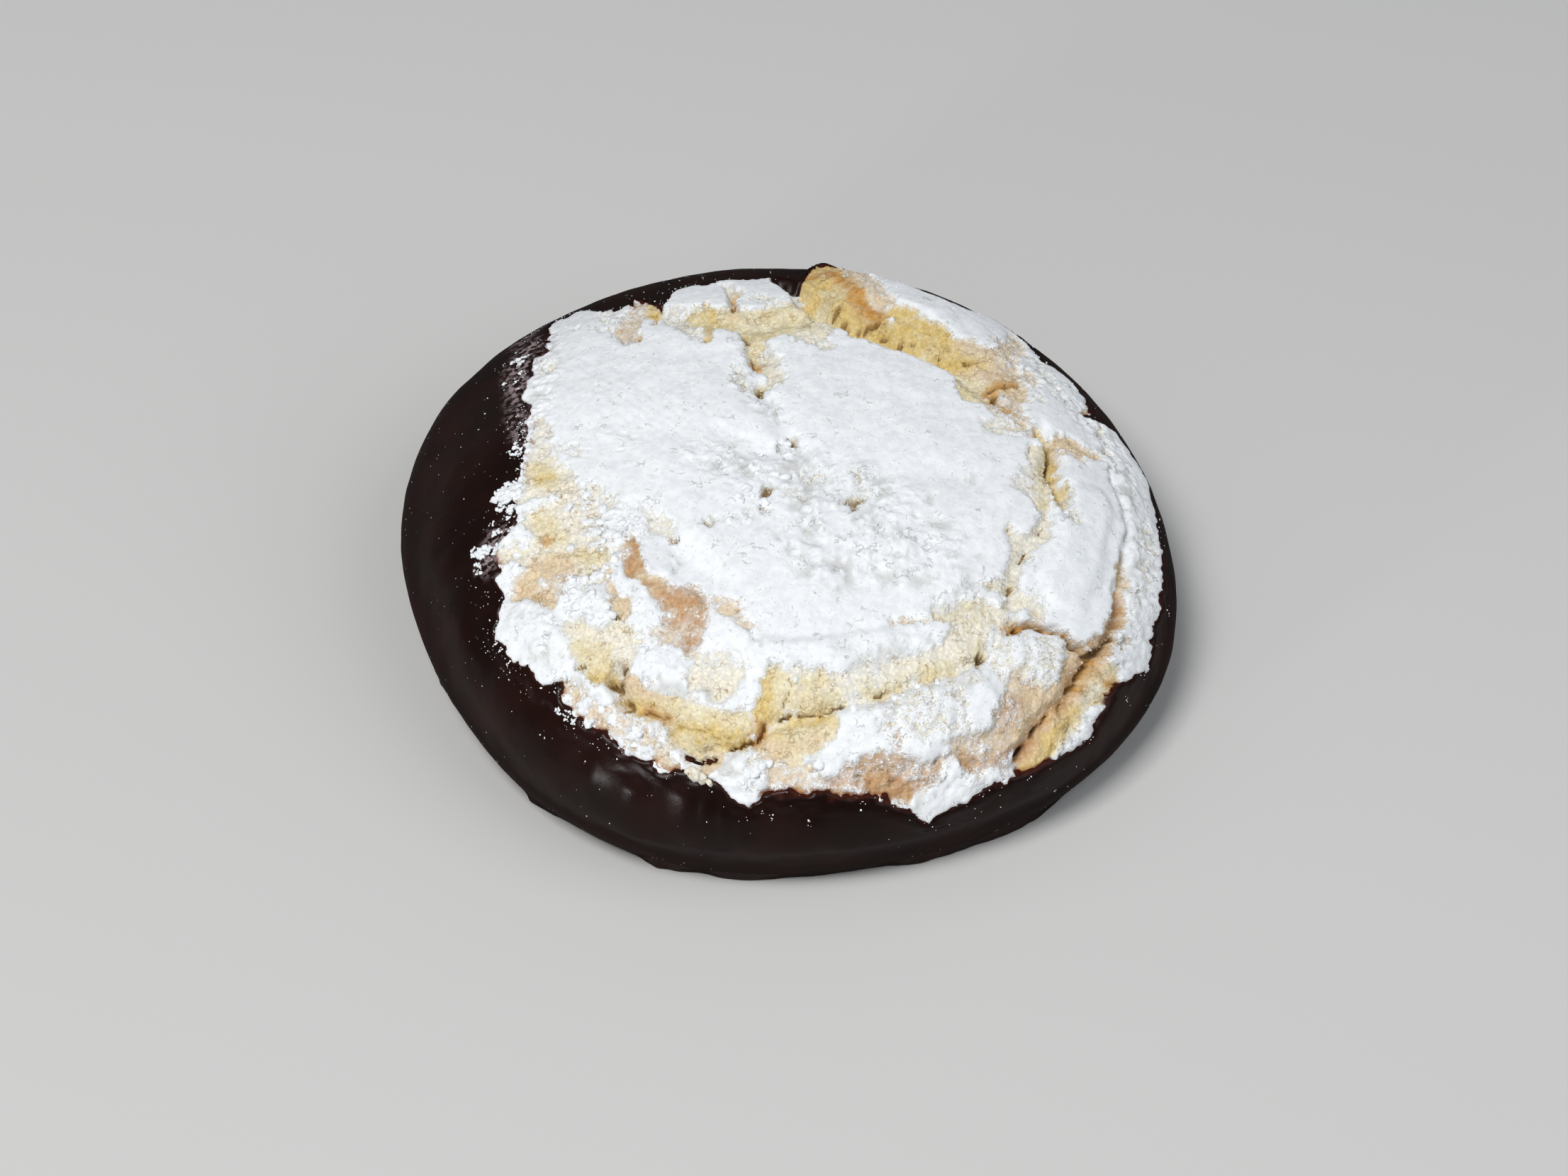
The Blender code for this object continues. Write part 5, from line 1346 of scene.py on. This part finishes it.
HAZE = {
    "left": (
        (-20.6, 16.4, 1.0), (-21.0, 13.4, 1.5), (-21.2, 11.0, 1.2), (-21.2, 8.6, 0.8), (-21.0, 5.6, 0.7),
        (-20.6, 3.0, 0.5),
    ),
    "corner": ((-20.6, 20.0, 0.8), (-21.6, 17.8, 0.8)),
    "lower left": ((-21.8, -7.0, 1.2), (-22.6, -9.0, 0.8)),
}
outer_smooth = body_point(outer_angle, outer_down)
haze = np.zeros(len(outer_angle))
for stroke in HAZE.values():
    haze = np.maximum(haze, smooth_step(-0.8, 0.8, inside(outer_smooth, stroke)))

outer_rings = body_point(outer_angle, outer_down, outer_height).reshape(COAT_ROWS, COAT_COLUMNS, 3)
wall_radius = np.hypot(outer_rings[-1, :, 0], outer_rings[-1, :, 1])
foot_edge = foot_radius(coat_angle)


def flat_ring(radius, level):
    """A ring at one level."""
    levels = np.full(COAT_COLUMNS, level)
    return np.stack([radius * np.cos(coat_angle), radius * np.sin(coat_angle), levels], axis=-1)


# %% Foot, underside and inside of the coat
FOOT_PROFILE = ((0.12, 0.86), (0.3, 0.66), (0.5, 0.5), (0.7, 0.4), (0.88, 0.33), (0.97, 0.26), (1.0, 0.15))
UNDERCUT = 0.12
UNDER_SHARES = (1.0, 0.9, 0.6, 0.3)
INNER_SHARES = (1.0, 0.75, 0.5, 0.3, 0.16, 0.08, 0.03, 0.0)
FLOOR_SHARES = (0.35, 0.7, 1.0)
FLOOR_LEVEL = 1.0
THIN_WALL = 0.4
WALL_GAIN = 0.65
WALL_TAPER = 4.0
LEAST_WALL = 0.2
foot_width = foot_edge - wall_radius
foot_rings = [flat_ring(wall_radius + foot_width * share, level) for share, level in FOOT_PROFILE]
under_rings = [flat_ring((foot_edge - UNDERCUT) * share, 0.0) for share in UNDER_SHARES]
inner_rings = []
for share in INNER_SHARES:
    inner_down = down_at(top_arc + (foot_arc - top_arc) * share)
    row = np.abs(row_share - share).argmin()
    skin = outer_height.reshape(COAT_ROWS, COAT_COLUMNS)[row]
    thick = THIN_WALL + WALL_GAIN * smooth_step(0.0, WALL_TAPER, arc_at(inner_down) - rim_arc(coat_angle))
    inner_rings.append(body_point(coat_angle, inner_down, np.minimum(skin - LEAST_WALL, -thick)))
floor_radius = np.hypot(inner_rings[0][:, 0], inner_rings[0][:, 1])
floor_rings = [flat_ring(floor_radius * share, FLOOR_LEVEL) for share in FLOOR_SHARES]
print(len(foot_rings), "rings in the foot,", len(inner_rings), "inside the cup")

# %% Join the coat
inside_rings = [np.array(ring) for ring in floor_rings + inner_rings]
coat_rings = inside_rings + list(outer_rings) + foot_rings + under_rings
coat_points = np.concatenate(coat_rings + [np.array([[0.0, 0.0, FLOOR_LEVEL], [0.0, 0.0, 0.0]])])
ring_numbers = np.arange(len(coat_rings) * COAT_COLUMNS).reshape(len(coat_rings), COAT_COLUMNS)
coat_faces = []
for upper, lower in zip(ring_numbers[:-1], ring_numbers[1:]):
    coat_faces += ring_faces(upper.tolist(), lower.tolist())
floor_centre = len(coat_points) - 2
for i in range(COAT_COLUMNS):
    follow = (i + 1) % COAT_COLUMNS
    coat_faces.append((floor_centre, int(ring_numbers[0][follow]), int(ring_numbers[0][i])))
    coat_faces.append((floor_centre + 1, int(ring_numbers[-1][i]), int(ring_numbers[-1][follow])))

before = len(inside_rings) * COAT_COLUMNS
after = len(coat_points) - before - len(outer_angle)
coat_marks = {
    "past": np.concatenate([np.full(before, FAR_PAST), outer_marks["past"], np.full(after, FAR_PAST)]),
    "haze": np.concatenate([np.zeros(before), haze, np.zeros(after)]),
}
chocolate_finish = dark_chocolate()
coat = mesh_piece("chocolate_dip", coat_points, coat_faces, chocolate_finish, coat_marks)
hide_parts("chocolate_coat")

# %% [markdown]
# ## Lumps, dust and grains
#
# Some sugar and crumb is loose. Lumps of sugar dropped on the wet chocolate and stuck, fine dust
# lies round its edge and thinly all over it, and grains of sugar and almond sit along every torn
# edge. Bigger clods of sugar lie where the crust crumbled, and one small blob of dough sits at the
# front. Each kind is one mesh of many small uneven pebbles. They are set on the skin by the same
# formulas, with a fixed random seed. Lumps and blobs are a place, x and y, and a radius.

# %% Pebbles on the skin
def pebble(detail):
    """Points and faces of a small round pebble."""
    ball = bmesh.new()
    bmesh.ops.create_icosphere(ball, subdivisions=detail, radius=1.0)
    points = np.array([point.co[:] for point in ball.verts])
    faces = np.array([[point.index for point in face.verts] for face in ball.faces])
    ball.free()
    return points, faces


def outer_skin(angle, down):
    """Points on whichever lies outside, crust or chocolate, the way out, and the crust's marks."""
    crust_height, marks = crust(angle, down)
    coat_height = chocolate(angle, down)[0]
    smooth = body_point(angle, down)
    out = body_point(angle, down, 1.0) - smooth
    return smooth + np.maximum(crust_height, coat_height)[:, None] * out, out, marks


# %% Many pebbles as one mesh
PEBBLE_LENGTHS = (0.8, 1.4)
PEBBLE_WIDTHS = (0.65, 1.1)
PEBBLE_DENTS = 0.9
PEBBLE_DENT_SPACING = 1.3
PEBBLE_GRIT = 0.12
PEBBLE_LIFT = 0.6


def pebbles(centres, outs, radii, flatness, sunk, detail, rng):
    """One mesh of many uneven pebbles, pressed flat and sunk by a share of their radius."""
    ball, ball_faces = pebble(detail)
    all_points, all_faces = [], []
    for index, (centre, out, radius) in enumerate(zip(centres, outs, radii)):
        first = np.cross(out, rng.normal(size=3))
        first /= np.linalg.norm(first)
        long_axis = first * rng.uniform(*PEBBLE_LENGTHS)
        wide_axis = np.cross(out, first) * rng.uniform(*PEBBLE_WIDTHS)
        axes = np.stack([long_axis, wide_axis, out * flatness])
        dents = 1 + PEBBLE_DENTS * lumpy(ball + 7.0 * index, PEBBLE_DENT_SPACING, 83.0)[:, None]
        dents = dents + rng.uniform(-PEBBLE_GRIT, PEBBLE_GRIT, len(ball))[:, None]
        lift = out * radius * (flatness * PEBBLE_LIFT - sunk)
        all_points.append(centre + lift + radius * (ball * dents) @ axes)
        all_faces.append(ball_faces + index * len(ball))
    return np.concatenate(all_points), np.concatenate(all_faces).tolist(), len(ball)


# %% Sugar lumps on the chocolate
LUMPS_ON_CHOCOLATE = (
    (-21.4, -2.2, 0.5), (-21.7, -3.0, 0.7), (-21.0, -3.2, 0.8), (-20.6, -2.4, 0.5), (-21.7, -3.9, 0.5),
    (-20.9, -4.8, 0.45), (-21.0, -5.3, 0.3), (-22.4, -5.4, 0.25), (-20.8, -6.7, 0.28), (-21.9, -6.5, 0.4),
    (-23.6, -7.3, 0.4), (-22.9, -7.7, 0.6), (-22.2, -7.9, 0.5), (-21.6, -8.0, 0.3), (-23.4, -8.8, 0.4),
    (-23.2, -9.2, 0.3), (-20.8, 1.9, 0.35), (-20.9, 1.4, 0.45), (-20.6, 1.0, 0.3), (-20.6, -0.7, 0.15),
    (-21.6, 13.8, 0.4), (-20.9, 14.2, 0.35), (-21.1, 13.2, 0.4), (-21.0, 11.4, 0.25), (-22.3, 10.6, 0.25),
    (-21.3, 10.2, 0.25), (-21.2, 9.2, 0.2), (-20.6, 4.4, 0.18), (-20.4, 3.4, 0.2), (-20.9, 5.6, 0.15),
    (-22.6, 14.4, 0.12), (-21.7, 15.8, 0.15), (-21.7, -15.6, 0.2), (-21.3, -16.3, 0.18),
    (-20.6, -17.6, 0.2), (-16.6, -22.3, 0.3), (-16.0, -22.8, 0.3), (-15.5, -23.3, 0.25),
    (-17.8, -20.4, 0.15), (-1.0, -30.1, 0.15), (-1.6, -30.0, 0.12), (1.8, -30.2, 0.15),
    (25.6, -18.0, 0.12), (29.2, -9.4, 0.15), (20.4, -24.6, 0.12),
)
LUMP_BITS = 24
LUMP_BIT_SIZES = (0.18, 0.42)
THICK_SUGAR = 1.2
rng = np.random.default_rng(7)
parts_x, parts_y, parts_radius = [], [], []
for x, y, radius in LUMPS_ON_CHOCOLATE:
    for _ in range(2 + int(radius * LUMP_BITS)):
        angle = rng.uniform(0, 2 * math.pi)
        reach = radius * math.sqrt(rng.uniform(0, 1))
        parts_x.append(x + reach * math.cos(angle))
        parts_y.append(y + reach * math.sin(angle))
        parts_radius.append(radius * rng.uniform(*LUMP_BIT_SIZES))
lump_angle, lump_down = from_above(np.array(parts_x), np.array(parts_y))
lump_places, lump_outs, _ = outer_skin(lump_angle, lump_down)
lump_points, lump_faces, _ = pebbles(lump_places, lump_outs, parts_radius, 0.7, 0.2, 2, rng)
whole = np.ones(len(lump_points))
lump_marks = {"sugar": whole * THICK_SUGAR, "past": -whole, "rubble": whole * 0.5}
mesh_piece("sugar_lumps", lump_points, lump_faces, crumb_finish, lump_marks)

# %% Dust on the chocolate
DUST_TRIES = 4200
DUST_NEAR = 0.9
DUST_FAR = 14
DUST_NEAR_SHARE = 0.7
DUST_SHARE = 0.12
DUST_SHARE_LEFT = 0.5
DUST_LEAST = 0.016
DUST_SPREAD = 0.02
DUST_COARSE = 0.05
dust_angle = rng.uniform(-math.pi, math.pi, DUST_TRIES)
near_edge = rng.exponential(DUST_NEAR, DUST_TRIES) - 0.1
anywhere = rng.uniform(0, DUST_FAR, DUST_TRIES)
close_by = rng.uniform(size=DUST_TRIES) < DUST_NEAR_SHARE
dust_offset = np.where(close_by, near_edge, anywhere)
dust_down = down_at(np.minimum(rim_arc(dust_angle) + dust_offset, foot_arc - 0.5))
left_side = smooth_step(-0.2, 0.9, -np.cos(dust_angle))
patchy = lumpy(body_point(dust_angle, dust_down), 1.6, 97.0)
kept = (rng.uniform(size=DUST_TRIES) < DUST_SHARE + DUST_SHARE_LEFT * left_side) & (patchy > -0.1)
dust_places, dust_outs, _ = outer_skin(dust_angle[kept], dust_down[kept])
dust_radii = DUST_LEAST + DUST_SPREAD * rng.uniform(size=kept.sum())
dust_radii = dust_radii + DUST_COARSE * rng.power(0.4, kept.sum()) * close_by[kept]
dust_points, dust_faces, _ = pebbles(dust_places, dust_outs, dust_radii, 0.7, 0.1, 1, rng)
whole = np.ones(len(dust_points))
dust_marks = {"sugar": whole * THICK_SUGAR, "past": -whole}
mesh_piece("sugar_dust", dust_points, dust_faces, crumb_finish, dust_marks)

# %% Where loose grains lie on the crust
CRUMB_BLOBS = ((-6.6, -28.0, 0.5), (-6.0, -28.3, 0.45), (-5.5, -28.6, 0.25), (-7.1, -27.9, 0.25))
CLODS = (
    ((-15.0, -5.8, 1.4), (-13.0, -8.4, 2.4), (-14.2, -11.6, 1.8), (-15.4, -14.0, 1.2),
     (-13.6, -16.6, 1.2)),
    ((-20.0, -5.0, 0.8), (-20.2, -7.2, 0.8), (-20.6, -10.2, 0.7)),
    ((-3.4, -8.0, 1.2), (-1.0, -4.0, 1.0), (1.0, 0.0, 0.6)),
    ((-16.8, -20.4, 0.8), (-13.6, -23.8, 0.9), (-10.0, -26.0, 0.9)),
    ((-3.2, -28.4, 0.8), (2.0, -27.8, 0.6)),
    ((12.0, -27.8, 0.7), (14.6, -26.6, 0.7)),
    ((4.0, -24.8, 0.5), (8.0, -23.2, 0.5), (12.0, -21.8, 0.4)),
    ((16.4, -14.8, 0.8), (15.2, -13.4, 0.8)),
    ((-10.6, -15.6, 0.7), (-9.8, -20.6, 0.6)),
)
GRAIN_TRIES = 11000
GRAIN_REACH = 29.5
CLOD_SHARE = 0.55
grain_reach = GRAIN_REACH * np.sqrt(rng.uniform(0, 1, GRAIN_TRIES))
grain_turn = rng.uniform(-math.pi, math.pi, GRAIN_TRIES)
grain_angle, grain_down = from_above(grain_reach * np.cos(grain_turn), grain_reach * np.sin(grain_turn))
grain_places, grain_outs, grain_marks = outer_skin(grain_angle, grain_down)
on_crumb = grain_marks["past"] < -0.15
bare_here = on_crumb & (grain_marks["sugar"] < -0.25)
edge_here = on_crumb & (abs(grain_marks["sugar"] - 0.1) < 0.9)
in_clods = np.max([inside(grain_places, stroke) for stroke in CLODS], axis=0) > 0
clod_here = on_crumb & in_clods & (grain_marks["sugar"] > -0.6) & (rng.uniform(size=GRAIN_TRIES) < CLOD_SHARE)
print(bare_here.sum(), "places for crumb,", edge_here.sum(), "for grains,", clod_here.sum(), "for clods")


# %% Loose grains on the crust
def with_blobs(points, faces, marks):
    """The grains of crumb, with the small blob of dough added."""
    blob_x, blob_y, blob_size = np.array(CRUMB_BLOBS).T
    blob_places, blob_outs, _ = outer_skin(*from_above(blob_x, blob_y))
    blob_points, blob_faces, _ = pebbles(blob_places, blob_outs, blob_size, 0.9, 0.1, 2, rng)
    faces = faces + [[corner + len(points) for corner in face] for face in blob_faces]
    for mark in TONES:
        marks[mark] = np.append(marks[mark], np.full(len(blob_points), mark == "cream"))
    return np.concatenate((points, blob_points)), faces, marks


KINDS = (
    ("crumb_grains", "biscuit_crumb", bare_here, -1.0, 0.1, 1),
    ("sugar_grains", "icing_sugar", edge_here, 1.1, 0.07, 1),
    ("sugar_clods", "icing_sugar", clod_here, 1.1, 0.26, 2),
)
for name, slot, chosen, level, size, detail in KINDS:
    radii = size * (0.5 + rng.power(0.6, chosen.sum()))
    points, faces, per_grain = pebbles(grain_places[chosen], grain_outs[chosen], radii, 0.7, 0.6, detail, rng)
    marks = {mark: np.repeat(grain_marks[mark][chosen], per_grain) for mark in TONES}
    if slot == "biscuit_crumb":
        points, faces, marks = with_blobs(points, faces, marks)
    whole = np.ones(len(points))
    marks.update({"sugar": whole * level, "past": -whole})
    mesh_piece(name, points, faces, crumb_finish, marks)

# %% [markdown]
# ## Floor and light
#
# A plain pale floor and three soft lamps: a high key from the front left, a larger and weaker fill
# from the right, and a low one from the front left that rakes over the cracks and the edges of the
# plates. A weak even light from all round keeps the shadows from going black.

# %% Floor
FLOOR_REACH = 3.0
FLOOR_COLOUR = (0.62, 0.62, 0.61, 1.0)
FLOOR_ROUGHNESS = 0.7
floor_mesh = bpy.data.meshes.new("floor")
floor_corners = [(x * FLOOR_REACH, y * FLOOR_REACH, 0.0) for x, y in ((-1, -1), (1, -1), (1, 1), (-1, 1))]
floor_mesh.from_pydata(floor_corners, [], [(0, 1, 2, 3)])
floor = bpy.data.objects.new("floor", floor_mesh)
bpy.context.scene.collection.objects.link(floor)
floor_finish, _, floor_shader, _ = new_material("pale floor")
floor_shader.inputs["Base Color"].default_value = FLOOR_COLOUR
floor_shader.inputs["Roughness"].default_value = FLOOR_ROUGHNESS
floor_mesh.materials.append(floor_finish)


# %% Lamps
LAMP_AIM = (0, 0, 0.008)
SKY_COLOUR = (0.9, 0.94, 1.0, 1.0)
SKY_STRENGTH = 0.18


def soft_lamp(name, place, size, power, colour):
    """A square soft lamp, aimed at the biscuit."""
    lamp_data = bpy.data.lights.new(name, "AREA")
    lamp_data.size = size
    lamp_data.energy = power
    lamp_data.color = colour
    lamp = bpy.data.objects.new(name, lamp_data)
    lamp.location = place
    lamp.rotation_euler = (Vector(LAMP_AIM) - Vector(place)).to_track_quat("-Z", "Y").to_euler()
    bpy.context.scene.collection.objects.link(lamp)


soft_lamp("key", (-0.2, -0.26, 0.62), 0.26, 3.45, (1.0, 0.99, 0.975))
soft_lamp("fill", (0.5, -0.2, 0.5), 0.6, 1.45, (0.94, 0.965, 1.0))
soft_lamp("low", (-0.52, -0.56, 0.11), 0.1, 1.1, (1.0, 0.99, 0.98))

world = bpy.data.worlds.new("studio")
world.use_nodes = True
sky = world.node_tree.nodes["Background"]
sky.inputs["Color"].default_value = SKY_COLOUR
sky.inputs["Strength"].default_value = SKY_STRENGTH
bpy.context.scene.world = world
print(len(bpy.data.lights), "lamps")
